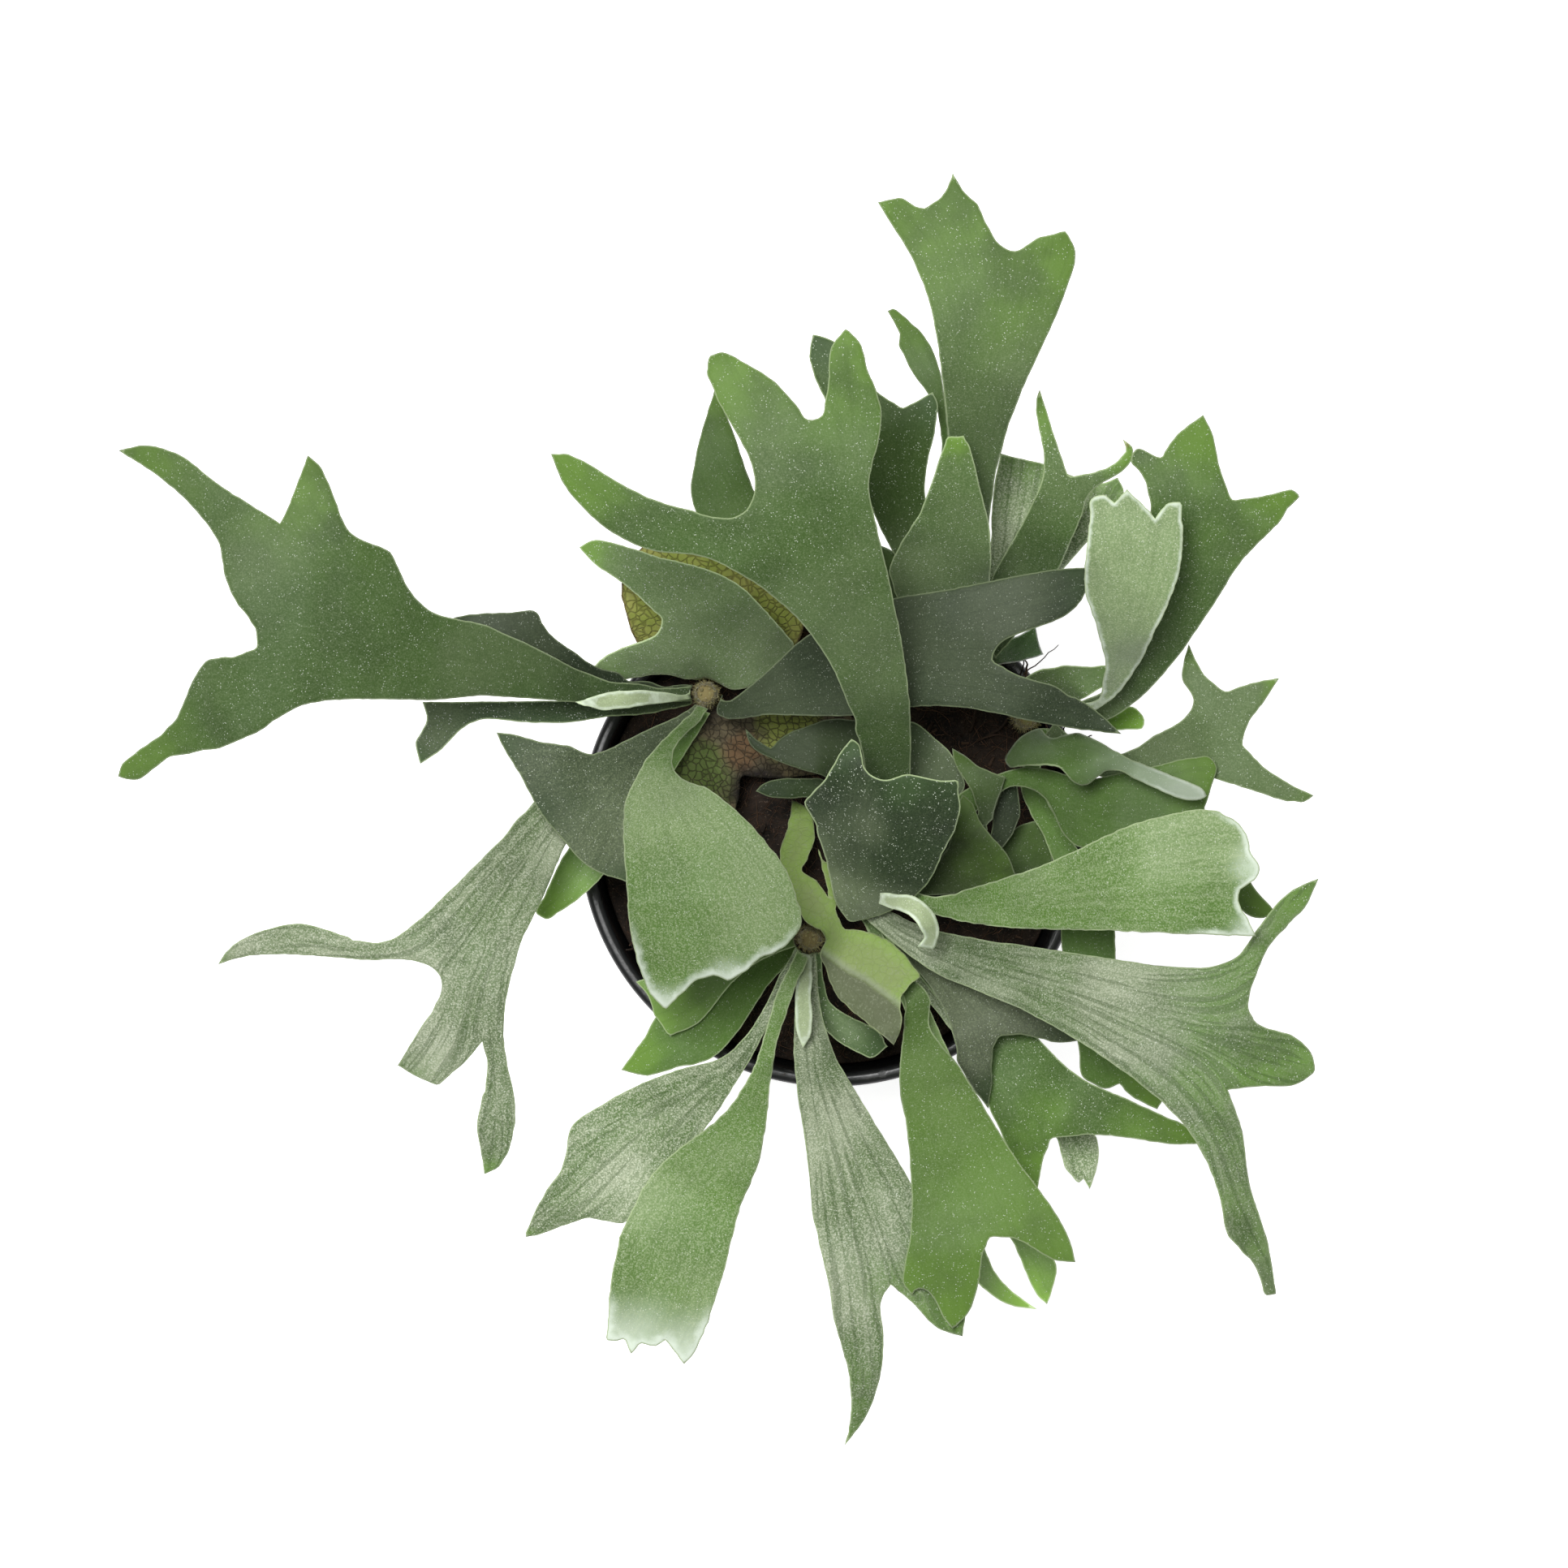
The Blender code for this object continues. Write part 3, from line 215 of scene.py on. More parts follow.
def paint(share, under, over):
    """One colour over another, by a share between 0 and 1."""
    return Field.node("ShaderNodeMix", {"data_type": "RGBA"}, {0: share, 6: under, 7: over}, out=2)


def rgb(red, green, blue):
    return (red, green, blue, 1.0)


def coats(under, *layers):
    """Colours painted one over another, each with its own share."""
    for share, colour in layers:
        under = paint(share, under, rgb(*colour))
    return under


print("black as a colour:", rgb(0.0, 0.0, 0.0))

# %% The finish builder
def finish_of(name, write, sheen=0.0, sheen_roughness=0.4, specular=0.5, glow=0.0):
    """Make a material: write() returns colour, roughness, bump height and bump depth in metres."""
    material = bpy.data.materials.new(name)
    material.use_nodes = True
    Field.tree = material.node_tree
    shader = material.node_tree.nodes["Principled BSDF"]
    colour, roughness, height, depth = write()
    bump = Field.node("ShaderNodeBump", {}, {"Height": height, "Distance": depth, "Strength": 1.0})
    links = Field.tree.links
    links.new(colour.socket, shader.inputs["Base Color"])
    links.new(roughness.socket, shader.inputs["Roughness"])
    links.new(bump.socket, shader.inputs["Normal"])
    shader.inputs["Sheen Weight"].default_value = sheen
    shader.inputs["Sheen Roughness"].default_value = sheen_roughness
    shader.inputs["Specular IOR Level"].default_value = specular
    shader.inputs["Emission Strength"].default_value = glow
    return material


# %% [markdown]
# The floor is a plain white sheet, lit a little from behind as on a light table, which takes the
# shadows out of it.  It is part of the studio and not of the plant.

# %% Floor
FLOOR_HALF = 6.0
FLOOR_COLOUR = rgb(0.92, 0.92, 0.92)
FLOOR_GLOW = 0.70


def write_paper():
    cloud = grain(place(), 2.0)
    colour = paint(cloud * 0.04, FLOOR_COLOUR, rgb(1.0, 1.0, 1.0))
    return colour, cloud * 0.1 + 0.8, cloud, 0.0001


bpy.ops.mesh.primitive_grid_add(x_subdivisions=8, y_subdivisions=8, size=2 * FLOOR_HALF)
floor = bpy.context.object
floor.name = "studio_floor"
floor.data.materials.append(finish_of("white_paper", write_paper, glow=FLOOR_GLOW))
print("floor side in metres:", 2 * FLOOR_HALF)

# %% [markdown]
# A frond in the frame is a coarse plate with straight cuts.  The real blade is one smooth, thin,
# leathery sheet.  Its outline and heights are right, so the fine blade starts from the plate's
# upper skin.  The plate is one sheet thick all over, so every point has a partner on the other
# side, exactly one thickness away, and the higher one of the two belongs to the upper skin.

# %% Upper skin of a plate
PLATE_THICKNESSES = (1.2 * MM, 1.6 * MM)


def partners(tree, vertices, thickness):
    """Pairs of vertices one thickness apart, the closest fits first, and how far off they are."""
    near = sorted((abs(apart - thickness), vertex.index, other) for vertex in vertices
                  for _, other, apart in tree.find_range(vertex.co, 1.1 * thickness)
                  if vertex.index < other)
    partner = {}
    missed = 0.0
    for miss, one, other in near:
        if one not in partner and other not in partner:
            partner[one], partner[other] = other, one
            missed += miss
    return missed + thickness * (len(vertices) - len(partner)), partner


def upper_skin(node):
    """Points in millimetres and triangles of a plate's upper side, and how many points it has."""
    bm = bmesh.new()
    bm.from_mesh(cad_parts[node].data)
    bmesh.ops.remove_doubles(bm, verts=bm.verts[:], dist=1e-6)
    bm.verts.ensure_lookup_table()
    bm.verts.index_update()
    tree = KDTree(len(bm.verts))
    for vertex in bm.verts:
        tree.insert(vertex.co, vertex.index)
    tree.balance()
    _, partner = min((partners(tree, bm.verts, thickness) for thickness in PLATE_THICKNESSES),
                     key=lambda found: found[0])
    upper = {one for one, other in partner.items() if bm.verts[one].co.z > bm.verts[other].co.z}
    faces = [face for face in bm.faces if all(vertex.index in upper for vertex in face.verts)]
    used = sorted({vertex.index for face in faces for vertex in face.verts})
    number = {old: new for new, old in enumerate(used)}
    points = np.array([bm.verts[old].co[:] for old in used]) / MM
    triangles = [[number[vertex.index] for vertex in face.verts] for face in faces]
    whole = len(bm.verts)
    bm.free()
    return points, triangles, whole


def margin_order(triangles):
    """The longest closed line of edges that only one triangle uses, as point numbers in order."""
    directed = {(t[k], t[(k + 1) % len(t)]) for t in triangles for k in range(len(t))}
    following = {a: b for a, b in directed if (b, a) not in directed}
    longest = []
    while following:
        start = next(iter(following))
        loop = [start]
        here = following.pop(start)
        while here != start and here in following:
            loop.append(here)
            here = following.pop(here)
        if len(loop) > len(longest):
            longest = loop
    return longest


plate, plate_triangles, plate_points = upper_skin("frond_west_great")
print("largest plate:", plate_points, "points,", len(plate), "of them on its upper skin")

# %% [markdown]
# The margin of the plate is a chain of short straight stretches.  A smooth line is drawn through
# its points, with the slope at each point worked out from its two neighbours.  Where the chain
# turns sharply, as at a lobe's tip or in a ragged notch, the line keeps its corner.

# %% Margin line
MARGIN_STEP = 1.3
CORNER = math.radians(88)
TEETH_LENGTH = 2.4
RAGGED, RAGGED_VELVET = 0.2, 0.35


def square_to(line):
    """Unit arrows that stand square to a closed line and point out of it."""
    along = np.roll(line, -1, axis=0) - np.roll(line, 1, axis=0)
    outward = np.column_stack([along[:, 1], -along[:, 0]])
    return outward / np.maximum(np.linalg.norm(outward, axis=1), 1e-6)[:, None]


def swell(x, y, size, layer):
    """Smooth unevenness between -1 and 1 over the plan, in lumps of a size in millimetres."""
    return noise.noise(Vector((x / size, y / size, layer)))


def drawn_margin(chain, ragged):
    """The margin in plan, in equal steps, with sharp corners kept and fine teeth of a size."""
    flat = chain[:, :2]
    leaving = np.roll(flat, -1, axis=0) - flat
    length = np.maximum(np.linalg.norm(leaving, axis=1), 1e-6)
    onward = leaving / length[:, None]
    before = np.roll(onward, 1, axis=0)
    before_length = np.roll(length, 1)
    weight = (before_length / (before_length + length))[:, None]
    slope = weight * onward + (1 - weight) * before
    corner = (np.arccos(np.clip((onward * before).sum(axis=1), -1, 1)) > CORNER)[:, None]
    out_slope = np.where(corner, onward, slope)
    in_slope = np.where(corner, before, slope)
    line = []
    for at in range(len(flat)):
        ahead = (at + 1) % len(flat)
        steps = max(1, round(length[at] / MARGIN_STEP))
        share = (np.arange(steps) / steps)[:, None]
        line.append((2 * share ** 3 - 3 * share ** 2 + 1) * flat[at]
                    + (share ** 3 - 2 * share ** 2 + share) * length[at] * out_slope[at]
                    + (3 * share ** 2 - 2 * share ** 3) * flat[ahead]
                    + (share ** 3 - share ** 2) * length[at] * in_slope[ahead])
    line = np.vstack(line)
    teeth = [swell(x, y, TEETH_LENGTH, 3.0) for x, y in line]
    return line + square_to(line) * (ragged * np.array(teeth))[:, None]


plate_line = drawn_margin(plate[margin_order(plate_triangles)], RAGGED)
print("its margin:", len(plate_line), "points")

# %% [markdown]
# Inside the margin the blade is filled with points on a honeycomb lattice, which gives triangles
# that are nearly all alike.  One more row of points follows the margin just inside it, so that the
# blade's edge can be rounded off.  A constrained Delaunay fill joins them all.

# %% Fill
LATTICE = 2.0
INSET = 0.75
KEEP_OFF = 1.25


def margin_distance(points, line):
    """Distance of each plan point from the margin line."""
    nearest = np.full(len(points), 1e9)
    ends = np.roll(line, -1, axis=0)
    for start, end in zip(line, ends):
        run = end - start
        share = np.clip(((points - start) @ run) / max(run @ run, 1e-9), 0, 1)
        apart = np.linalg.norm(points - start - share[:, None] * run, axis=1)
        nearest = np.minimum(nearest, apart)
    return nearest


def inside(points, line):
    """Whether each plan point lies inside the margin line."""
    odd = np.zeros(len(points), dtype=bool)
    ends = np.roll(line, -1, axis=0)
    for (x0, y0), (x1, y1) in zip(line, ends):
        if y0 == y1:
            continue
        crosses = (points[:, 1] < y0) != (points[:, 1] < y1)
        odd ^= crosses & (points[:, 0] < x0 + (points[:, 1] - y0) * (x1 - x0) / (y1 - y0))
    return odd


def fill(line):
    """Plan points and triangles inside a margin line."""
    low = line.min(axis=0)
    high = line.max(axis=0)
    rows = np.arange(low[1], high[1], LATTICE * math.sqrt(3) / 2)
    lattice = np.array([(x + (row % 2) * LATTICE / 2, y) for row, y in enumerate(rows)
                        for x in np.arange(low[0], high[0], LATTICE)])
    ring = line - square_to(line) * INSET
    lattice = lattice[inside(lattice, line) & (margin_distance(lattice, line) > KEEP_OFF)]
    ring = ring[inside(ring, line) & (margin_distance(ring, line) > 0.8 * INSET)]
    points = np.vstack([line, ring, lattice])
    found = geometry.delaunay_2d_cdt(
        [Vector(point) for point in points], [], [list(range(len(line)))], 1, 1e-4)
    return np.array([vertex[:] for vertex in found[0]]), [list(face) for face in found[2]]


plate_plan, plate_fill = fill(plate_line)
print("its fill:", len(plate_fill), "triangles")

# %% [markdown]
# The fine points take their heights from the plate below them, and the plate's folds are then
# smoothed away.  Plain averaging would flatten the arch of a frond, so each round that averages is
# followed by one that pushes back a little less.

# %% Heights
SMOOTH_ROUNDS = 46


def plan_cross(one, other):
    """Twice the area between two arrows, seen in plan."""
    return one[..., 0] * other[..., 1] - other[..., 0] * one[..., 1]


def heights_on(plan, skin, triangles):
    """Heights of a skin at plan points, or at the nearest place on it."""
    tree = BVHTree.FromPolygons([(x, y, 0.0) for x, y in skin[:, :2]], triangles)
    heights = np.zeros(len(plan))
    for at, (x, y) in enumerate(plan):
        nearest, _, face, _ = tree.find_nearest((x, y, 0.0))
        a, b, c = skin[triangles[face]]
        to_b, to_c, to_it = b - a, c - a, np.array(nearest) - a
        area = plan_cross(to_b, to_c)
        of_b, of_c = plan_cross(to_it, to_c) / area, plan_cross(to_b, to_it) / area
        heights[at] = a[2] + of_b * to_b[2] + of_c * to_c[2]
    return heights


def edges_of(triangles):
    """Each edge once, as two columns of point numbers."""
    three = np.array(triangles)
    both = np.vstack([three[:, [0, 1]], three[:, [1, 2]], three[:, [2, 0]]])
    return np.unique(np.sort(both, axis=1), axis=0)


def relax(values, edges, rounds, push_back=True):
    """Smooth values over a mesh."""
    count = len(values)
    first, second = edges.T
    degree = np.maximum(np.bincount(edges.ravel(), minlength=count), 1)
    values = values.astype(float)
    for step in range(rounds):
        total = np.bincount(first, weights=values[second], minlength=count)
        total += np.bincount(second, weights=values[first], minlength=count)
        factor = -0.52 if push_back and step % 2 else 0.5
        values = values + factor * (total / degree - values)
    return values


plate_edges = edges_of(plate_fill)
plate_heights = relax(heights_on(plate_plan, plate, plate_triangles), plate_edges, SMOOTH_ROUNDS)
print("its heights in millimetres:", plate_heights.min(), "to", plate_heights.max())

# %% [markdown]
# Veins, down and colour all follow the growth of the blade, so each point needs to know how far it
# is from the bud and on which vein it lies.  The first number is the shortest way over the mesh.
# For the second, the margin is numbered from 0 on one side of the stalk, round every lobe, to 1 on
# the other, faster across the tips, where veins run out, than along the sides.  The numbers spread
# over the blade like heat, and lines of equal number then run from the stalk into every lobe.

# %% Growth lines
SIDE_PACE = 0.08
WIDTH_ROUNDS = 12


def two_sides(values, triangles):
    """What each triangle gains from its first corner to the second and to the third."""
    first, second, third = values[np.array(triangles)].swapaxes(0, 1)
    return second - first, third - first


def gathered(values, triangles, count):
    """The sum of the triangles' values at each point."""
    total = np.zeros((count, *values.shape[1:]))
    for corner in np.array(triangles).T:
        np.add.at(total, corner, values)
    return total


def travel(points, edges, starts):
    """Shortest distance over the mesh from the starting points."""
    near = [[] for _ in points]
    lengths = np.linalg.norm(points[edges[:, 0]] - points[edges[:, 1]], axis=1)
    for (a, b), length in zip(edges.tolist(), lengths.tolist()):
        near[a].append((b, length))
        near[b].append((a, length))
    found = [1e9] * len(points)
    queue = [(0.0, start) for start in starts]
    for start in starts:
        found[start] = 0.0
    while queue:
        here, point = heapq.heappop(queue)
        if here > found[point]:
            continue
        for other, length in near[point]:
            if here + length < found[other]:
                found[other] = here + length
                heapq.heappush(queue, (here + length, other))
    return np.array(found)


def spread_from_margin(count, edges, margin, values):
    """Heat-like spread of the margin's values over the mesh."""
    free = np.ones(count, dtype=bool)
    free[margin] = False
    number = np.cumsum(free) - 1
    field = np.zeros(count)
    field[margin] = values
    size = int(free.sum())
    matrix = np.zeros((size, size))
    right = np.zeros(size)
    for a, b in ((edges[:, 0], edges[:, 1]), (edges[:, 1], edges[:, 0])):
        own = free[a]
        np.add.at(matrix, (number[a[own]], number[a[own]]), 1.0)
        both = own & free[b]
        np.add.at(matrix, (number[a[both]], number[b[both]]), -1.0)
        fixed = own & ~free[b]
        np.add.at(right, number[a[fixed]], field[b[fixed]])
    field[free] = np.linalg.solve(matrix, right)
    return field


def vein_numbers(points, triangles, edges, margin, root_distance):
    """The vein number of each point, and how wide a blade is there, in doublings of 1 mm."""
    line = points[margin]
    run = np.linalg.norm(np.roll(line, -1, axis=0) - line, axis=1)
    climb = np.abs(np.roll(root_distance[margin], -1) - root_distance[margin])
    pace = run * (SIDE_PACE + np.clip(1 - climb / np.maximum(run, 1e-6), 0, 1) ** 2)
    total = np.concatenate([[0.0], np.cumsum(pace)[:-1]])
    number = spread_from_margin(len(points), edges, margin, total / total[-1])
    to_b, to_c = two_sides(points, triangles)
    area = plan_cross(to_b, to_c)
    area = np.where(np.abs(area) < 1e-6, 1e-6, area)
    rise_b, rise_c = two_sides(number, triangles)
    slope_x = (rise_b * to_c[:, 1] - rise_c * to_b[:, 1]) / area
    slope_y = (rise_c * to_b[:, 0] - rise_b * to_c[:, 0]) / area
    steep = gathered(np.hypot(slope_x, slope_y), triangles, len(points))
    touching = gathered(np.ones(len(triangles)), triangles, len(points))
    width = 1 / np.clip(steep / np.maximum(touching, 1), 1e-3, 1.0)
    return number, relax(np.log2(width), edges, WIDTH_ROUNDS, push_back=False)


plate_travel = travel(np.column_stack([plate_plan, plate_heights]), plate_edges, [0])
print("furthest way over it in millimetres:", plate_travel.max().round())

# %% [markdown]
# A frond belongs to the bud that its stalk touches.  The buds' boxes in the frame say where each
# bud stands, and the stalk is the part of the margin that comes nearest to one of them.

# %% Roots
TIP_WINDOW = 9
TIP_SHARE = 0.45


def box_of(node):
    """Low and high corner of a node in the frame, in millimetres."""
    return (np.array(corner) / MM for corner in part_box(node))


BUDS = [node for node in sorted(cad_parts) if node.startswith("bud_")]
BUD_BOXES = [tuple(box_of(node)) for node in BUDS]


def root_of(points, margin):
    """Which margin point lies nearest to a bud."""
    line = points[margin]
    best = (math.inf, 0)
    for low, high in BUD_BOXES:
        over = np.maximum(np.maximum(low[2] - line[:, 2], line[:, 2] - high[2]), 0)
        axis = (low[:2] + high[:2]) / 2
        apart = np.hypot(np.linalg.norm(line[:, :2] - axis, axis=1), over)
        best = min(best, (apart.min(), int(apart.argmin())))
    return best[1]


def lobe_tips(root_distance):
    """Places on the margin that are further from the root than all the margin nearby."""
    shifts = range(-TIP_WINDOW, TIP_WINDOW + 1)
    nearby = np.array([np.roll(root_distance, shift) for shift in shifts]).max(axis=0)
    tall = root_distance > TIP_SHARE * root_distance.max()
    return np.flatnonzero((root_distance >= nearby) & tall)


print("buds:", len(BUDS))

# %% [markdown]
# A sheet becomes a blade when it gets an underside.  The underside is the same mesh again, moved
# in along the normals, and a band of faces joins the two round the margin.  The blade is thin at
# the margin and thick along the stalk, as the real one is, and the last millimetre of the upper
# side rolls over.

# %% Blade solid
BLADE_THICK = 1.15
EDGE_THICK = 0.35
THIN_BAND = 3.0
ROLL = 0.35
ROLL_BAND = 0.9
RIPPLE = 0.55
RIPPLE_LENGTH = 17
STIFF_STALK = 30


def unit(arrows):
    return arrows / np.maximum(np.linalg.norm(arrows, axis=1), 1e-9)[:, None]


def new_piece(name, points, faces, numbers, material):
    """A mesh object from points in millimetres, with numbers that its finish reads."""
    mesh = bpy.data.meshes.new(name)
    mesh.from_pydata((np.asarray(points) * MM).tolist(), [], faces)
    mesh.update()
    for key, values in numbers.items():
        mesh.attributes.new(key, "FLOAT", "POINT").data.foreach_set(
            "value", np.asarray(values, dtype=np.float32))
    mesh.shade_smooth()
    mesh.materials.append(material)
    piece = bpy.data.objects.new(name, mesh)
    scene.collection.objects.link(piece)
    return piece


def thicken(points, triangles, margin, edge_distance):
    """Add an underside and a rim to a sheet."""
    normals = unit(gathered(np.cross(*two_sides(points, triangles)), triangles, len(points)))
    body = np.clip(edge_distance / THIN_BAND, 0, 1)
    thickness = EDGE_THICK + (BLADE_THICK - EDGE_THICK) * np.sqrt(body)
    under = points - normals * thickness[:, None]
    count = len(points)
    faces = [list(face) for face in triangles]
    faces += [[number + count for number in reversed(face)] for face in triangles]
    ahead = np.roll(margin, -1)
    faces += [[a, a + count, b + count, b] for a, b in zip(margin.tolist(), ahead.tolist())]
    return np.vstack([points, under]), faces


def fine_blade(node, name, material, ragged, relief=None):
    """Build the fine blade that stands for one plate."""
    skin, skin_triangles, _ = upper_skin(node)
    plan, triangles = fill(drawn_margin(skin[margin_order(skin_triangles)], ragged))
    edges = edges_of(triangles)
    heights = relax(heights_on(plan, skin, skin_triangles), edges, SMOOTH_ROUNDS)
    points = np.column_stack([plan, heights])
    margin = np.array(margin_order(triangles))
    margin = np.roll(margin, -root_of(points, margin))
    root_distance = travel(points, edges, [margin[0]])
    tips = margin[lobe_tips(root_distance[margin])]
    tip_distance = travel(points, edges, tips.tolist())
    edge_distance = margin_distance(plan, plan[margin])
    number, width = vein_numbers(points, triangles, edges, margin, root_distance)
    sway = [swell(x, y, RIPPLE_LENGTH, len(name) * 1.7) for x, y in plan]
    points[:, 2] += RIPPLE * np.array(sway) * np.clip(root_distance / STIFF_STALK, 0, 1)
    points[:, 2] -= ROLL * np.clip(1 - edge_distance / ROLL_BAND, 0, 1)
    if relief is not None:
        points[:, 2] += relief(points, root_distance)
    solid, faces = thicken(points, triangles, margin, edge_distance)
    upper = dict(along=root_distance, tip=tip_distance, edge=edge_distance, vein=number,
                 width=width)
    numbers = {key: np.tile(values, 2) for key, values in upper.items()}
    numbers["under"] = np.repeat([0.0, 1.0], len(points))
    piece = new_piece(name, solid, faces, numbers, material)
    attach(piece, "root")
    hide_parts(node)
    return piece


print("blade thickness in millimetres:", EDGE_THICK, "to", BLADE_THICK)

# %% [markdown]
# A living blade is green leather under a coat of white star-shaped hairs.  Where the coat is thick
# the blade looks grey, where it has worn off it is bright green, and it wears off first at the
# tips.  Young blades keep all of it and have a white rim.  One finish covers them all: green, then
# the fine stipple of the coat, then single hairs, then the pale line along the margin.

# %% Blade finish
SHADE = (0.78, 0.83, 0.66)
DOWN = (0.40, 0.455, 0.33)
HAIR = (0.86, 0.88, 0.92)
MARGIN = (0.50, 0.58, 0.40)
RIM = (0.74, 0.78, 0.84)
FELT = (0.22, 0.26, 0.20)
SCORCH = (0.16, 0.10, 0.05)
DEEP = 0.62
PLAIN = dict(
    reach=34, down=0.12, nap=0.12, streak=0.0, down_and_sheen=0.12, dots=0.5, veins=0.25, margin=0.65,
    rim=0.0, rim_reach=30, scorch=0.0, cloud=0.5, frost=0.0, coat=DOWN, by_root=0.0,
    stalk=(0.040, 0.062, 0.034))


def vein_lines(spacing, length, seed=0.0):
    """Noise drawn out along the growth lines, about one spacing across wherever it is."""
    level = attribute("width") - math.log2(spacing)
    whole = level.math("FLOOR")
    vein = attribute("vein")
    along = attribute("along") * (1 / length)

    def lines(octave):
        return grain(vector(vein * (2.0 ** octave), along, octave + seed), 1.0, 1.0)

    near = lines(whole)
    share = level - whole
    return near + (lines(whole + 1.0) - near) * share


def lit(colour, painted_light):
    """A leaf colour under the shared tint, times the frond's factor of painted light and shade."""
    return rgb(*(min(value * shade * painted_light, 0.9) for value, shade in zip(colour, SHADE)))


def blade_finish(name, leaf, tip, painted_light, look):
    """The finish of one blade, from its two greens and how its coat has worn."""
    look = {**PLAIN, **look}
    leaf = look.get("leaf", leaf)

    # Every colour of the blade is scaled by its factor of painted light and shade.
    def over(under, share, colour):
        return paint(share, under, lit(colour, painted_light))

    def write():
        where = place()
        edge = attribute("edge")
        cloud = grain(where, 55.0, 3.0)
        toward_tip = 1.0 - (attribute("tip") + (cloud - 0.5) * 30.0).ramp(0.0, look["reach"])
        green = over(lit(leaf, painted_light), toward_tip, tip)
        deep = [DEEP * value for value in leaf]
        green = over(green, cloud.ramp(0.42, 0.72) * look["cloud"], deep)
        by_root = 1.0 - (attribute("along") + (cloud - 0.5) * 40.0).ramp(15.0, 95.0)
        green = over(green, by_root * look["by_root"], look["stalk"])
        stipple = grain(where, 1800.0, 3.0, 0.6)
        combed = vein_lines(0.7, 3.0)
        broad = vein_lines(2.6, 34.0, seed=5.0)
        # Broad grey patches: partly patches of down, partly painted sheen where the fuzz would
        # catch the light.
        down_and_sheen = grain(where, 21.0, 1.0).ramp(0.44, 0.66)
        worn = 1.0 - toward_tip * 0.75
        coat = stipple.ramp(0.46, 0.62) * look["nap"] + combed.ramp(0.40, 0.70) * look["nap"] * 0.3
        coat = (coat + look["down"] * 0.42 + down_and_sheen * look["down_and_sheen"]) * worn
        coat = coat + (broad.ramp(0.40, 0.64) - 0.5) * look["streak"] * worn
        coat = coat.math("MAXIMUM", 0.0).math("MINIMUM", 1.0)
        colour = over(green, coat, look["coat"])
        veins = vein_lines(1.5, 60.0, seed=9.0).ramp(0.53, 0.60)
        colour = over(colour, veins * look["veins"] * 0.5, deep)
        drops = (1.0 - cells(where, 45.0).ramp(0.035, 0.075)) * grain(where, 23.0).ramp(0.50, 0.56)
        colour = over(colour, drops * 0.45, deep)
        spots = cells(where, 1250.0)
        patches = grain(where, 480.0, 2.0).ramp(0.42, 0.62)
        hairs = (1.0 - spots.ramp(0.08, 0.30)) * patches
        colour = over(colour, hairs * look["dots"], HAIR)
        if look["frost"]:
            frost = 1.0 - (attribute("tip") + (stipple - 0.5) * 14.0).ramp(2.0, look["frost"])
            colour = over(colour, frost * 0.55, RIM)
        if look["rim"]:
            ragged = edge + (grain(where, 320.0) - 0.5) * look["rim"]
            rim = 1.0 - ragged.ramp(0.0, look["rim"])
            rim = rim * (1.0 - attribute("tip").ramp(0.5 * look["rim_reach"], look["rim_reach"]))
            colour = over(colour, rim * 0.85, RIM)
        if look["scorch"]:
            burnt = 1.0 - (attribute("tip") + (cloud - 0.5) * 6.0).ramp(0.0, look["scorch"])
            colour = over(colour, burnt, SCORCH)
        line = 1.0 - edge.ramp(0.10, 0.60)
        colour = over(colour, line * look["margin"], MARGIN)
        colour = over(colour, attribute("under") * 0.75, FELT)
        height = stipple * (0.3 + 0.6 * look["nap"]) + hairs * 0.5 - veins * look["veins"]
        return colour, hairs * 0.2 + 0.54 + cloud * 0.12, height, 0.00013

    return finish_of(name, write, sheen=0.03 + 0.12 * look["down"], sheen_roughness=0.45,
                     specular=0.22)


print("looks that a blade can change:", len(PLAIN))

# %% Greens
MATURE = ((0.055, 0.106, 0.024), (0.126, 0.225, 0.040))
GREY = ((0.084, 0.144, 0.047), (0.130, 0.238, 0.050))
DARK = ((0.030, 0.050, 0.026), (0.044, 0.076, 0.032))
VELVET = ((0.090, 0.178, 0.032), (0.125, 0.225, 0.048))
WHITE = ((0.270, 0.310, 0.220), (0.360, 0.400, 0.320))
BRIGHT = ((0.085, 0.165, 0.032), (0.140, 0.250, 0.042))

KINDS = {
    "mature": (MATURE, dict(down=0.05, nap=0.13, dots=0.65, veins=0.15, down_and_sheen=0.10, by_root=0.55),
               "green_blade"),
    "grey": (GREY, dict(reach=24, down=0.36, nap=0.60, coat=(0.47, 0.485, 0.44), streak=0.20,
                        dots=0.75, down_and_sheen=0.34, veins=0.8, cloud=0.8, by_root=0.4), "grey_blade"),
    "dark": (DARK, dict(reach=20, down=0.03, nap=0.07, dots=0.7, margin=0.6), "dark_blade"),
    "velvet": (VELVET, dict(reach=6, down=0.16, nap=0.42, dots=0.6, rim=1.0, down_and_sheen=0.26,
                            cloud=0.4, margin=0.85), "young_blade"),
    "white": (WHITE, dict(reach=9, down=0.7, nap=0.4, dots=0.5, rim=1.4, rim_reach=60),
              "white_blade"),
    "bright": (BRIGHT, dict(reach=26, down=0.08, nap=0.09, dots=0.45), "green_blade"),
}


print("kinds of blade:", ", ".join(KINDS))
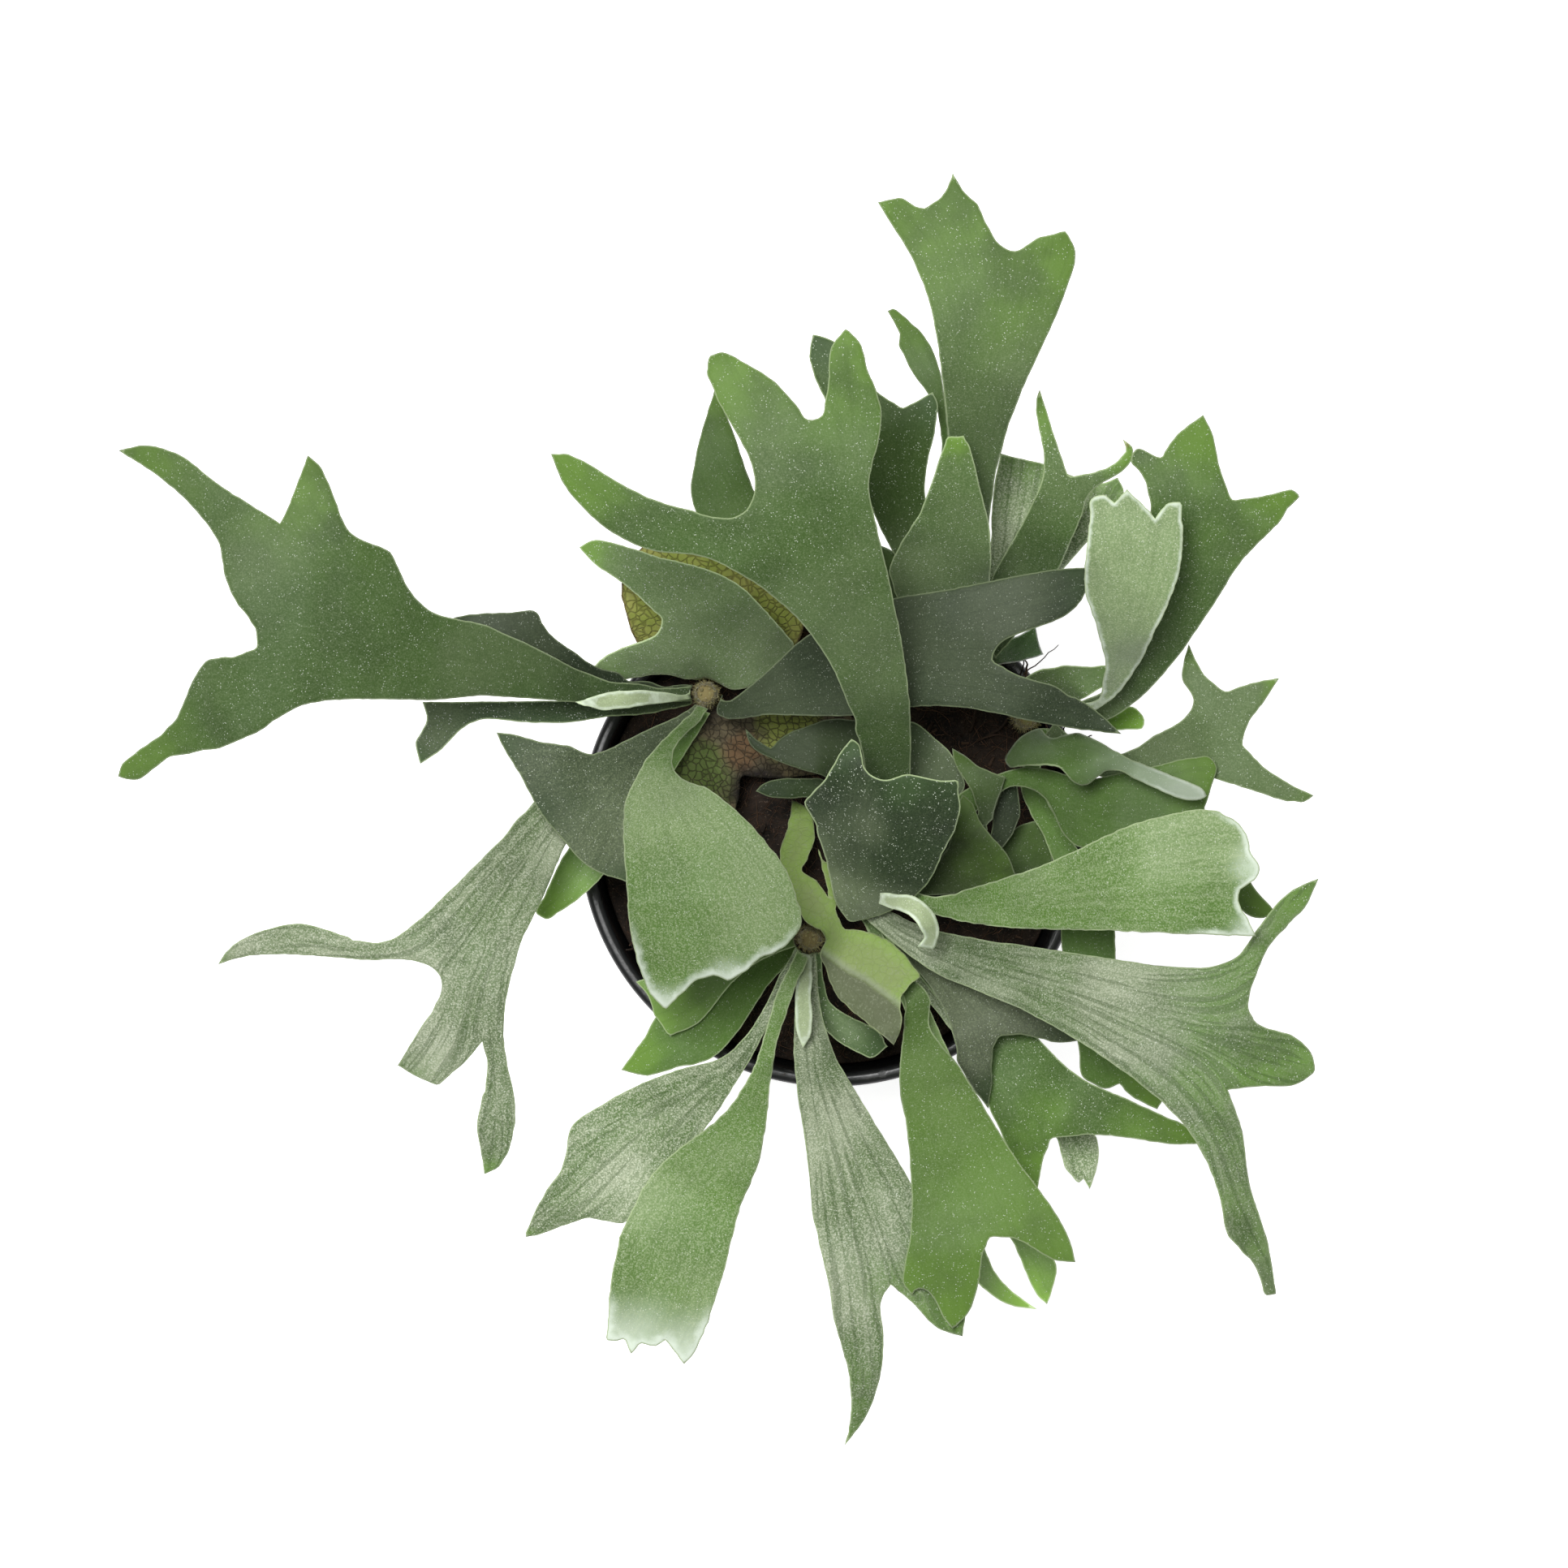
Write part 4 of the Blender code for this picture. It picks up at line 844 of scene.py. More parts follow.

# %% [markdown]
# Every frond is listed with the kind it belongs to, how light it is beside its kind, and what else
# sets it apart: how far its tips have greened, how streaked it is, how wide its white rim is.  The
# lightness is partly the frond's own tone and mostly painted light and shade.  Fronds low in the
# clump are painted lighter against the shade that falls on them, and fronds beside the dark gaps of
# the clump are painted darker as shade.

# %% The fronds
FRONDS = {
    "west_great": ("mature", 0.89, dict(reach=46)),
    "west_shaded_high": ("dark", 0.58, {}),
    "west_shaded_low": ("dark", 1.59, {}),
    "west_bud_leaf": ("white", 1.38, {}),
    "south_west_velvet": ("velvet", 0.91, dict(rim=3.4, rim_reach=34, frost=10, down=0.12)),
    "south_west_dusky": ("dark", 0.85, dict(down=0.3, nap=0.2)),
    "south_west_forked": ("grey", 1.0, dict(reach=18, down=0.5, streak=0.2)),
    "south_west_bright": ("bright", 1.56, {}),
    "north_west_lobed": ("mature", 1.5, dict(down=0.28, reach=20)),
    "north_great": ("mature", 1.0, dict(reach=52)),
    "north_west_triangle": ("bright", 0.63, {}),
    "north_hidden": ("dark", 1.2, dict(leaf=(0.044, 0.08, 0.02))),
    "north_tip": ("bright", 0.74, {}),
    "north_tall": ("mature", 1.0, dict(down=0.26, reach=60)),
    "north_front": ("mature", 1.25, dict(down=0.2, reach=12)),
    "east_dark": ("dark", 0.65, dict(down=0.08, dots=0.5)),
    "north_slender": ("mature", 1.2, dict(scorch=3, reach=20)),
    "north_grey": ("grey", 1.34, dict(streak=0.1)),
    "east_young": ("velvet", 1.1, dict(rim=1.6, rim_reach=300, down=0.6, leaf=(0.14, 0.22, 0.09))),
    "east_great_low": ("mature", 1.0, dict(reach=44)),
    "east_forked": ("mature", 1.0, dict(down=0.4, reach=12)),
    "east_little": ("bright", 1.7, {}),
    "east_stub": ("mature", 1.46, dict(down=0.3)),
    "north_notch_leaf": ("dark", 4.87, {}),
    "east_wavy": ("bright", 0.72, dict(rim=1.5, frost=52)),
    "east_shaded": ("bright", 0.76, dict(reach=30)),
    "east_velvet": ("velvet", 1.09, dict(streak=0.12, rim=2.4, rim_reach=26, frost=12)),
    "south_east_great": ("grey", 1.0, dict(reach=80, streak=0.2, nap=0.45)),
    "south_east_grey": ("dark", 0.68, dict(down=0.4, nap=0.2, leaf=(0.06, 0.072, 0.052))),
    "south_east_green": ("mature", 1.25, dict(reach=50)),
    "south_front": ("mature", 1.0, dict(leaf=(0.098, 0.178, 0.034), reach=60)),
    "south_hidden": ("bright", 1.9, dict(down=0.4)),
    "south_east_tab": ("grey", 1.35, dict(reach=4)),
    "south_east_hidden": ("bright", 1.0, {}),
    "south_long": ("grey", 1.0, dict(reach=44)),
    "south_velvet": ("velvet", 1.1, dict(rim=3.8, rim_reach=24, frost=26)),
    "south_west_streaked": ("grey", 1.2, dict(reach=12)),
    "south_west_small": ("bright", 1.25, dict(down=0.3)),
    "south_west_green": ("bright", 1.15, {}),
    "south_bud_leaf": ("white", 1.07, {}),
    "south_rounded": ("dark", 1.34, dict(leaf=(0.06, 0.105, 0.04))),
    "centre_bud_leaf": ("white", 1.32, {}),
    # Its strong grey patches are painted sheen.
    "centre_dark": ("dark", 1.08, dict(margin=0.9, dots=1.0, down_and_sheen=0.42, cloud=0.8,
                                       leaf=(0.018, 0.036, 0.014))),
    "centre_small": ("dark", 0.36, dict(leaf=(0.052, 0.095, 0.026))),
    "centre_tongue": ("dark", 0.51, dict(leaf=(0.045, 0.085, 0.022))),
    "centre_pointed": ("mature", 0.56, dict(down=0.25)),
    "centre_grey": ("dark", 0.96, dict(down=0.4)),
    "centre_folded": ("bright", 0.46, dict(leaf=(0.06, 0.1, 0.026))),
    "centre_green": ("dark", 0.47, {}),
    "centre_tip": ("mature", 0.53, {}),
}

made = {}
for short, (kind, painted_light, change) in FRONDS.items():
    (leaf, tip), look, slot = KINDS[kind]
    node = "frond_" + short
    finish = blade_finish(node + "_coat", leaf, tip, painted_light, {**look, **change})
    ragged = RAGGED_VELVET if kind == "velvet" else RAGGED
    made[node] = fine_blade(node, node + "_blade", finish, ragged)
print("fronds:", len(made), "points:", sum(len(piece.data.vertices) for piece in made.values()))
left = [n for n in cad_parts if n.startswith("frond_") and n not in made]
print("fronds left plain:", left)

# %% [markdown]
# The shields are the fern's other kind of leaf.  They lie flat on the root ball, lose their green
# after a season and turn to brown paper, and a net of dark veins stays in them.  The three here
# are of three ages, so each one gets its own colours, but all share the net.

# %% Shields
def vein_net(where, scale, width):
    """Fine dark lines between cells, each cell about 1/scale metres across."""
    bend = grain(where, 260.0, 2.0) * 0.0022
    moved = vector(part_of(where, 0) + bend, part_of(where, 1) - bend, part_of(where, 2))
    return 1.0 - cells(moved, scale, "DISTANCE_TO_EDGE").ramp(0.0, width)


BUCKLE = 0.9
BUCKLE_LENGTH = 11


def buckled(points, root_distance):
    """Papery folds that grow from the bud outward."""
    folds = [swell(x, y, BUCKLE_LENGTH, 7.0) for x, y, _ in points]
    return BUCKLE * np.array(folds) * np.clip(root_distance / 20, 0, 1)


def write_old_shield():
    where = place()
    speck = grain(where, 900.0, 2.0)
    net = vein_net(where, 420.0, 0.12)
    ribs = vein_lines(2.2, 60.0).ramp(0.52, 0.60)
    colour = coats(
        rgb(0.072, 0.062, 0.038),
        (grain(where, 70.0, 4.0).ramp(0.35, 0.65), (0.125, 0.100, 0.055)),
        (spot(where, -46.0, 18.0, 17.0), (0.070, 0.100, 0.024)),
        (spot(where, -30.0, 27.0, 9.0) * 0.8, (0.110, 0.060, 0.028)),
        (spot(where, -15.0, 35.0, 13.0), (0.180, 0.210, 0.048)),
        (spot(where, -25.0, 14.0, 12.0), (0.012, 0.009, 0.008)),
        ((1.0 - attribute("along").ramp(4.0, 14.0)) * 0.8, (0.022, 0.017, 0.014)),
        (net * 0.7, (0.020, 0.016, 0.008)),
        (ribs * 0.22, (0.025, 0.018, 0.010)),
        (speck.ramp(0.56, 0.74) * 0.25, (0.180, 0.150, 0.100)))
    return colour, speck * 0.2 + 0.66, ribs * 0.6 - net * 0.8 + speck * 0.3, 0.0003


def write_yellow_shield():
    where = place()
    cloud = grain(where, 80.0, 4.0)
    speck = grain(where, 900.0, 2.0)
    net = vein_net(where, 380.0, 0.14)
    # Painted shade: darker towards the root, where the shield runs under the fronds.
    shaded_by_root = 1.0 - (attribute("along") + (cloud - 0.5) * 40.0).ramp(20.0, 34.0)
    edge = 1.0 - (attribute("edge") + speck * 0.8).ramp(0.6, 1.6)
    colour = coats(
        rgb(0.230, 0.270, 0.055),
        (cloud.ramp(0.35, 0.65), (0.300, 0.300, 0.085)),
        (shaded_by_root * 0.9, (0.045, 0.028, 0.020)),
        (net * 0.5, (0.050, 0.035, 0.010)),
        (edge * 0.7, (0.120, 0.070, 0.030)),
        (speck.ramp(0.56, 0.74) * 0.25, (0.250, 0.230, 0.120)))
    return colour, speck * 0.2 + 0.62, speck * 0.4 - net * 0.8, 0.0003


# A point on the painted fold line and an arrow across it, in millimetres.
SHIELD_FOLD = ((-8.2, -35.2), (0.542, 0.840))


def write_green_shield():
    where = place()
    cloud = grain(where, 60.0, 3.0)
    speck = grain(where, 1100.0, 2.0, 0.6)
    net = vein_net(where, 300.0, 0.10)
    (fold_x, fold_y), (over_x, over_y) = SHIELD_FOLD
    side = ((part_of(where, 0) * (1 / MM) - fold_x) * over_x
            + (part_of(where, 1) * (1 / MM) - fold_y) * over_y + (cloud - 0.5) * 2.0)
    # Beyond the fold line the shield is painted darker: partly its grey felt, partly painted shade
    # of a fold that the sheet itself does not make.
    felt_and_shade = 1.0 - side.ramp(-2.0, 0.5)
    colour = coats(
        rgb(0.195, 0.262, 0.086),
        (cloud.ramp(0.35, 0.65) * 0.5, (0.230, 0.292, 0.112)),
        ((1.0 - (attribute("edge") + (cloud - 0.5) * 6.0).ramp(0.5, 6.0)) * 0.7,
         (0.205, 0.315, 0.072)),
        (felt_and_shade * 0.9, (0.098, 0.110, 0.068)),
        # Near the bud that side is painted near black as shadow.
        (felt_and_shade * (1.0 - attribute("along").ramp(6.0, 46.0)) * 0.75, (0.018, 0.020, 0.012)),
        (side.ramp(-1.4, -0.2) * (1.0 - side.ramp(-0.2, 2.2)) * 0.45, (0.260, 0.280, 0.230)),
        (speck.ramp(0.52, 0.70) * 0.35, (0.260, 0.290, 0.200)),
        (net * 0.10, (0.050, 0.070, 0.020)),
        ((1.0 - attribute("edge").ramp(0.10, 0.55)) * 0.6, (0.360, 0.420, 0.220)))
    return colour, speck * 0.2 + 0.55, speck * 0.5 - net * 0.3, 0.0002


RAGGED_PAPER = 0.5
SHIELDS = {"shield_west": write_old_shield, "shield_north_west": write_yellow_shield,
           "shield_south": write_green_shield}

for node, write in SHIELDS.items():
    finish = finish_of(node + "_paper", write, sheen=0.03, specular=0.2)
    made[node] = fine_blade(node, node + "_paper", finish, RAGGED_PAPER, buckled)
print("shields:", len(SHIELDS))

# %% [markdown]
# Buds, coir and roots all need thin round strands.  A strand is a tube round a bent line.  Its
# cross-sections are set square to the line, they shrink towards the tip, and both ends are closed.
# Many strands go into one mesh, so a small list collects their points and faces.

# %% Strands
def bands(first, rings, turns):
    """Faces between neighbouring rings of points, where the first ring starts at a number."""
    return [[b, a, a + turns, b + turns] for ring in range(rings - 1) for turn in range(turns)
            for a, b in [(first + ring * turns + turn, first + ring * turns + (turn + 1) % turns)]]


class Bundle:
    """Points and faces of many small shapes that share one mesh."""

    def __init__(self):
        self.points = []
        self.faces = []
        self.shades = []

    def add(self, points, faces, shade):
        start = len(self.points)
        self.points.extend(points)
        self.faces.extend([start + number for number in face] for face in faces)
        self.shades.extend([shade] * len(points))

    def strand(self, path, radius, tip_radius, sides=4, shade=0.5):
        """A tube along a path, thinner towards its tip."""
        path = np.asarray(path, dtype=float)
        run = unit(np.gradient(path, axis=0))
        upward = np.where(np.abs(run[:, 2:]) > 0.9, [[1.0, 0.0, 0.0]], [[0.0, 0.0, 1.0]])
        across = unit(np.cross(run, upward))
        over = np.cross(across, run)
        radii = np.linspace(radius, tip_radius, len(path))[:, None]
        angles = np.arange(sides) * math.tau / sides
        rings = [path + radii * (math.cos(angle) * across + math.sin(angle) * over)
                 for angle in angles]
        points = np.stack(rings, axis=1).reshape(-1, 3)
        faces = [list(range(sides)), list(range(len(points) - 1, len(points) - sides - 1, -1))]
        self.add(points.tolist(), faces + bands(0, len(path), sides), shade)

    def piece(self, name, node, material, slot):
        made_piece = new_piece(name, self.points, self.faces, {"shade": self.shades}, material)
        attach(made_piece, "root")
        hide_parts(node)
        print(name, "points:", len(self.points))
        return made_piece


def wander(start, heading, length, steps, bend, sink=0.0):
    """A path that starts out along a heading and turns a little at every step."""
    path = [np.array(start, dtype=float)]
    heading = np.array(heading, dtype=float)
    for _ in range(steps):
        heading += rng.normal(0, bend, 3)
        heading[2] -= sink
        heading /= np.linalg.norm(heading)
        path.append(path[-1] + heading * length / steps)
    return path


trial = Bundle()
trial.strand([(0, 0, 0), (0, 0, 1)], 0.1, 0.05)
print("points in a short strand:", len(trial.points))

# %% [markdown]
# A growing point is a blunt knob wrapped in narrow papery scales.  The scales overlap like tiles,
# each turned from the one below by the golden angle, and tan wool sticks out between them.

# %% Buds
KNOB_TURNS, KNOB_LEVELS = 28, 24
KNOB_CURVE = 1.4
SCALES = 46
GOLDEN = math.pi * (3 - math.sqrt(5))
SCALE_OUTLINE = ((0.0, 0.75), (0.35, 0.95), (0.7, 0.55), (1.0, 0.08))
SCALE_LENGTH = (3.0, 5.0)
SCALE_HOLLOW = 0.15
SCALE_THICK = 0.14
WOOL_HAIRS = 320
WOOL_LENGTH = (1.0, 2.6)
WOOL_THICK = 0.09
UP = np.array([0.0, 0.0, 1.0])


def arrow(angle):
    """A level unit arrow in one direction."""
    return np.array([math.cos(angle), math.sin(angle), 0.0])


def bud_radius(share, radius):
    """Radius of the knob from its top (0) to its foot (1)."""
    return radius * math.sin(math.pi * (0.12 + 0.80 * share)) ** 0.6


def write_wool():
    where = place()
    speck = grain(where, 1600.0, 2.0)
    colour = coats(
        rgb(0.100, 0.068, 0.026),
        (attribute("shade"), (0.350, 0.310, 0.130)),
        (grain(where, 300.0, 2.0).ramp(0.5, 0.7) * 0.4, (0.230, 0.280, 0.090)),
        (speck.ramp(0.55, 0.75) * 0.3, (0.560, 0.520, 0.360)))
    return colour, speck * 0.2 + 0.7, speck, 0.0001


def bud(node, material):
    """One knob with its scales and wool."""
    low, high = box_of(node)
    middle = (low + high) / 2
    radius = (high[0] - low[0]) / 2
    tall = high[2] - low[2]

    def on_knob(share, outward, fit, lower=0.0):
        """The place on the knob at a share of its height, in one direction."""
        axis = np.array([middle[0], middle[1], high[2] - tall * share ** KNOB_CURVE - lower])
        return axis + outward * bud_radius(share, radius) * fit

    points = [[middle[0], middle[1], high[2]]]
    for level in range(1, KNOB_LEVELS + 1):
        share = level / KNOB_LEVELS
        for turn in range(KNOB_TURNS):
            outward = arrow(math.tau * turn / KNOB_TURNS)
            lump = noise.noise(Vector((3 * outward[0], 3 * outward[1], 9 * share)))
            points.append(on_knob(share, outward, 0.90 + 0.07 * lump).tolist())
    faces = [[0, 1 + turn, 1 + (turn + 1) % KNOB_TURNS] for turn in range(KNOB_TURNS)]
    faces += bands(1, KNOB_LEVELS, KNOB_TURNS)
    faces.append(list(range(len(points) - 1, len(points) - 1 - KNOB_TURNS, -1)))
    whole = Bundle()
    whole.add(points, faces, 0.35)
    for scale in range(SCALES):
        share = 0.03 + 0.77 * scale / SCALES
        outward = arrow(scale * GOLDEN)
        sideways = np.array([-outward[1], outward[0], 0.0])
        foot = on_knob(share, outward, 0.86, lower=2.0)
        length = rng.uniform(*SCALE_LENGTH)
        lean = rng.uniform(0.02, 0.22) - 0.55 * max(0.0, 1.0 - share / 0.25)
        shape = []
        for along, half in SCALE_OUTLINE:
            spine = foot + UP * length * along
            spine = spine + outward * (lean * length * along + 0.25 - 0.5 * share * along)
            edge = spine - outward * SCALE_HOLLOW
            shape += [edge - sideways * half, spine + outward * 0.12, edge + sideways * half]
        count = len(shape)
        inner = [point - outward * SCALE_THICK for point in shape]
        tiles = []
        for a in (0, 1, 3, 4, 6, 7):
            tiles.append([a, a + 1, a + 4, a + 3])
            tiles.append([count + a + 3, count + a + 4, count + a + 1, count + a])
        rim = [0, 1, 2, 5, 8, 11, 10, 9, 6, 3]
        tiles += [[b, a, a + count, b + count] for a, b in zip(rim, rim[1:] + rim[:1])]
        whole.add([point.tolist() for point in shape + inner], tiles, rng.uniform(0.3, 0.9))
    for _ in range(WOOL_HAIRS):
        share = rng.uniform(0.02, 0.7)
        outward = arrow(rng.uniform(0, math.tau))
        heading = outward * 0.8 + UP * (0.9 - share) + rng.normal(0, 0.3, 3)
        heading /= np.linalg.norm(heading)
        path = wander(on_knob(share, outward, 0.88), heading, rng.uniform(*WOOL_LENGTH), 3, 0.3)
        whole.strand(path, WOOL_THICK, WOOL_THICK / 3, sides=3, shade=rng.uniform(0.5, 1.0))
    return whole.piece(node + "_scales", node, material, "bud_wool")


wool = finish_of("bud_wool_coat", write_wool, sheen=0.2, specular=0.2)
for node in BUDS:
    made[node] = bud(node, wool)

# %% [markdown]
# The pot is thin black plastic, blown in a mould.  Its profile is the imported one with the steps
# taken out: the wall flares to a rolled rim, a moulded bead runs round it below the rim, and the
# foot has a raised ring.  The drain holes are cut right through the floor.

# %% Pot
POT_TURNS = 180
FOOT = 62.0
WALL = 1.6
LIP = 12.0
FLOOR_TOP = 2.4
FILLET = 1.5
RIM_OVERHANG = 3.2
RIM_ROUND = 2.0
LIP_ROUND = 1.2
BEAD = 0.9
BEAD_DROP = 10.0
FOOT_HOLLOW = 0.8
MID_FLOOR = 30.0
DRAINS = 6
DRAIN_RING = 44.0
DRAIN_RADIUS = 5.0


def arc(radius, height, size, first, last, steps=8):
    """Profile points of a rounded edge, between two angles in degrees."""
    angles = np.radians(np.linspace(first, last, steps + 1))
    return [(radius + size * math.cos(angle), height + size * math.sin(angle)) for angle in angles]


def turned_shell(profile, turns):
    """Points and faces of a closed profile, from axis to axis, turned round the Z axis."""
    inner = profile[1:-1]
    points = [[0.0, 0.0, profile[0][1]], [0.0, 0.0, profile[-1][1]]]
    for radius, height in inner:
        points += [(arrow(math.tau * turn / turns) * radius + UP * height).tolist()
                   for turn in range(turns)]
    faces = bands(2, len(inner), turns)
    last = len(points) - turns
    for turn in range(turns):
        after = (turn + 1) % turns
        faces += [[0, 2 + turn, 2 + after], [1, last + after, last + turn]]
    return points, faces


def write_plastic():
    where = place()
    x, y, z = (part_of(where, which) for which in range(3))
    speck = grain(where, 700.0, 3.0)
    cloud = grain(where, 30.0, 3.0)
    flow = grain(vector(x * 8.0, y * 8.0, z * 0.6), 30.0, 2.0)
    scratch = grain(vector(x, y, z * 14.0), 160.0, 2.0).ramp(0.62, 0.70)
    dust = speck.ramp(0.58, 0.75) * cloud.ramp(0.40, 0.65)
    limed = (1.0 - z.ramp(0.0, 22.0 * MM)) * cloud.ramp(0.40, 0.70)
    colour = coats(
        rgb(0.0055, 0.0058, 0.0065),
        (cloud, (0.0095, 0.0098, 0.0105)),
        (dust * 0.5, (0.060, 0.048, 0.036)),
        (limed * 0.4, (0.100, 0.098, 0.090)),
        (scratch * 0.25, (0.040, 0.040, 0.042)))
    roughness = speck * 0.12 + dust * 0.3 + scratch * 0.15 + 0.27
    return colour, roughness, flow * 0.7 + speck * 0.12 - scratch * 0.2, 0.00015


def fine_pot(node):
    """The pot as one closed shell with its drain holes cut."""
    _, high = box_of(node)
    rim, top = high[0], high[2]
    under_rim = top - LIP

    def outer(height):
        return FOOT + (rim - RIM_OVERHANG - FOOT) * height / under_rim

    def inner(height):
        return outer(height) - WALL

    profile = [(0.0, FLOOR_TOP), (MID_FLOOR, FLOOR_TOP), (inner(FLOOR_TOP) - FILLET, FLOOR_TOP)]
    profile += arc(inner(FLOOR_TOP + FILLET) - FILLET, FLOOR_TOP + FILLET, FILLET, -90, 0)
    profile += [(inner(height), height) for height in np.linspace(12, under_rim, 12)]
    profile += arc(inner(under_rim) + RIM_ROUND, top - RIM_ROUND, RIM_ROUND, 180, 90)
    profile += arc(rim - RIM_ROUND, top - RIM_ROUND, RIM_ROUND, 90, 0)
    profile += arc(rim - LIP_ROUND, under_rim + LIP_ROUND, LIP_ROUND, 0, -90)
    profile += [(outer(under_rim) + 0.6, under_rim)]
    profile += [(outer(under_rim - 0.8) + 0.1, under_rim - 0.8)]
    profile += [(outer(under_rim - 8.0), under_rim - 8.0)]
    profile += arc(outer(under_rim - BEAD_DROP) - 0.2, under_rim - BEAD_DROP, BEAD, 70, -70)
    profile += [(outer(height), height) for height in np.linspace(under_rim - 13, 6, 12)]
    profile += arc(FOOT - 2.0, 2.0, 2.0, 0, -90)
    profile += [(FOOT - 5.0, 0.0), (FOOT - 6.0, FOOT_HOLLOW), (MID_FLOOR, FOOT_HOLLOW)]
    profile += [(0.0, FOOT_HOLLOW)]
    points, faces = turned_shell(profile, POT_TURNS)
    satin = finish_of("pot_satin", write_plastic, specular=0.4)
    piece = new_piece(node + "_shell", points, faces, {}, satin)
    drills = Bundle()
    for hole in range(DRAINS):
        centre = arrow(math.tau * hole / DRAINS) * DRAIN_RING
        drills.strand([centre - UP * 4.0, centre + UP * 8.0], DRAIN_RADIUS, DRAIN_RADIUS, sides=48)
    mesh = bpy.data.meshes.new("drills")
    mesh.from_pydata((np.array(drills.points) * MM).tolist(), [], drills.faces)
    drill = bpy.data.objects.new("drills", mesh)
    scene.collection.objects.link(drill)
    cut = piece.modifiers.new("drains", "BOOLEAN")
    cut.operation = "DIFFERENCE"
    cut.solver = "EXACT"
    cut.object = drill
    whole = bpy.data.meshes.new_from_object(
        piece.evaluated_get(bpy.context.evaluated_depsgraph_get()))
    piece.modifiers.clear()
    piece.data = whole
    bpy.data.objects.remove(drill, do_unlink=True)
    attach(piece, "root")
    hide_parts(node)
    return piece


made["pot"] = fine_pot("pot")
print("pot points:", len(made["pot"].data.vertices))

# %% [markdown]
# The root ball is coir: matted brown fibre with crumbs of peat and bark.  Its top is a fine mesh
# with lumps of several sizes, and the rest of it follows the inside of the pot.  Loose fibres and
# chips lie on top, sunk a little into it.

# %% Soil
SOIL_STEP = 1.4
SOIL_REACH = 78.2
_, (_, _, SOIL_TOP) = box_of("soil")
SOIL_LEVEL = SOIL_TOP - 1.0
SOIL_LUMPS = ((1.3, 9, 1.0), (0.8, 3.2, 5.0), (0.45, 1.3, 9.0))
SOIL_DROP = 3.6
SOIL_RINGS = ((SOIL_REACH - 0.4, SOIL_TOP - 8.0), (70.0, 60.0), (60.8, 2.9))
FIBRES = 1500
FIBRE_LENGTH = (4, 20)
FIBRE_STEPS = 7
CHIPS = 420
CHIP_SIZE = (0.7, 2.3)


def soil_height(x, y):
    """Height of the coir at a plan place."""
    share = min(math.hypot(x, y) / SOIL_REACH, 1.0)
    lumps = sum(tall * swell(x, y, size, layer) for tall, size, layer in SOIL_LUMPS)
    return SOIL_LEVEL - SOIL_DROP * share ** 4 + lumps * (1.0 - 0.6 * share ** 6)


def write_coir():
    where = place()
    speck = grain(where, 1400.0, 3.0)
    thread = grain(where, 380.0, 5.0, 0.7)
    colour = coats(
        rgb(0.0085, 0.0068, 0.0055),
        (grain(where, 160.0, 4.0).ramp(0.35, 0.65), (0.024, 0.0165, 0.012)),
        (thread.ramp(0.52, 0.60) * 0.4, (0.034, 0.019, 0.012)),
        (attribute("shade") * 0.9, (0.150, 0.082, 0.048)),
        (speck.ramp(0.60, 0.72) * 0.6, (0.110, 0.082, 0.062)))
    return colour, speck * 0.2 + 0.75, speck * 0.6 + thread, 0.0004


coir = finish_of("coir", write_coir, specular=0.15)
steps = round(math.tau * SOIL_REACH / SOIL_STEP)
circle = np.array([arrow(math.tau * step / steps)[:2] * SOIL_REACH for step in range(steps)])
plan, triangles = fill(circle)
body = [[x, y, soil_height(x, y)] for x, y in plan]
sides = [list(face) for face in triangles]
above = margin_order(triangles)
for radius, height in SOIL_RINGS:
    below = list(range(len(body), len(body) + len(above)))
    for number in above:
        stretch = radius / math.hypot(body[number][0], body[number][1])
        body.append([body[number][0] * stretch, body[number][1] * stretch, height])
    sides += [[above[k - 1], below[k - 1], below[k], above[k]] for k in range(len(above))]
    above = below
sides.append(list(reversed(above)))
ball = Bundle()
ball.add(body, sides, 0.0)
made["soil"] = ball.piece("soil_ball", "soil", coir, "coir_soil")


def dropped(clear):
    """A random place on the coir, that far from its edge, and a random level arrow."""
    reach = (SOIL_REACH - clear) * math.sqrt(rng.uniform(0, 1))
    x, y, _ = arrow(rng.uniform(0, math.tau)) * reach
    return x, y, arrow(rng.uniform(0, math.tau))


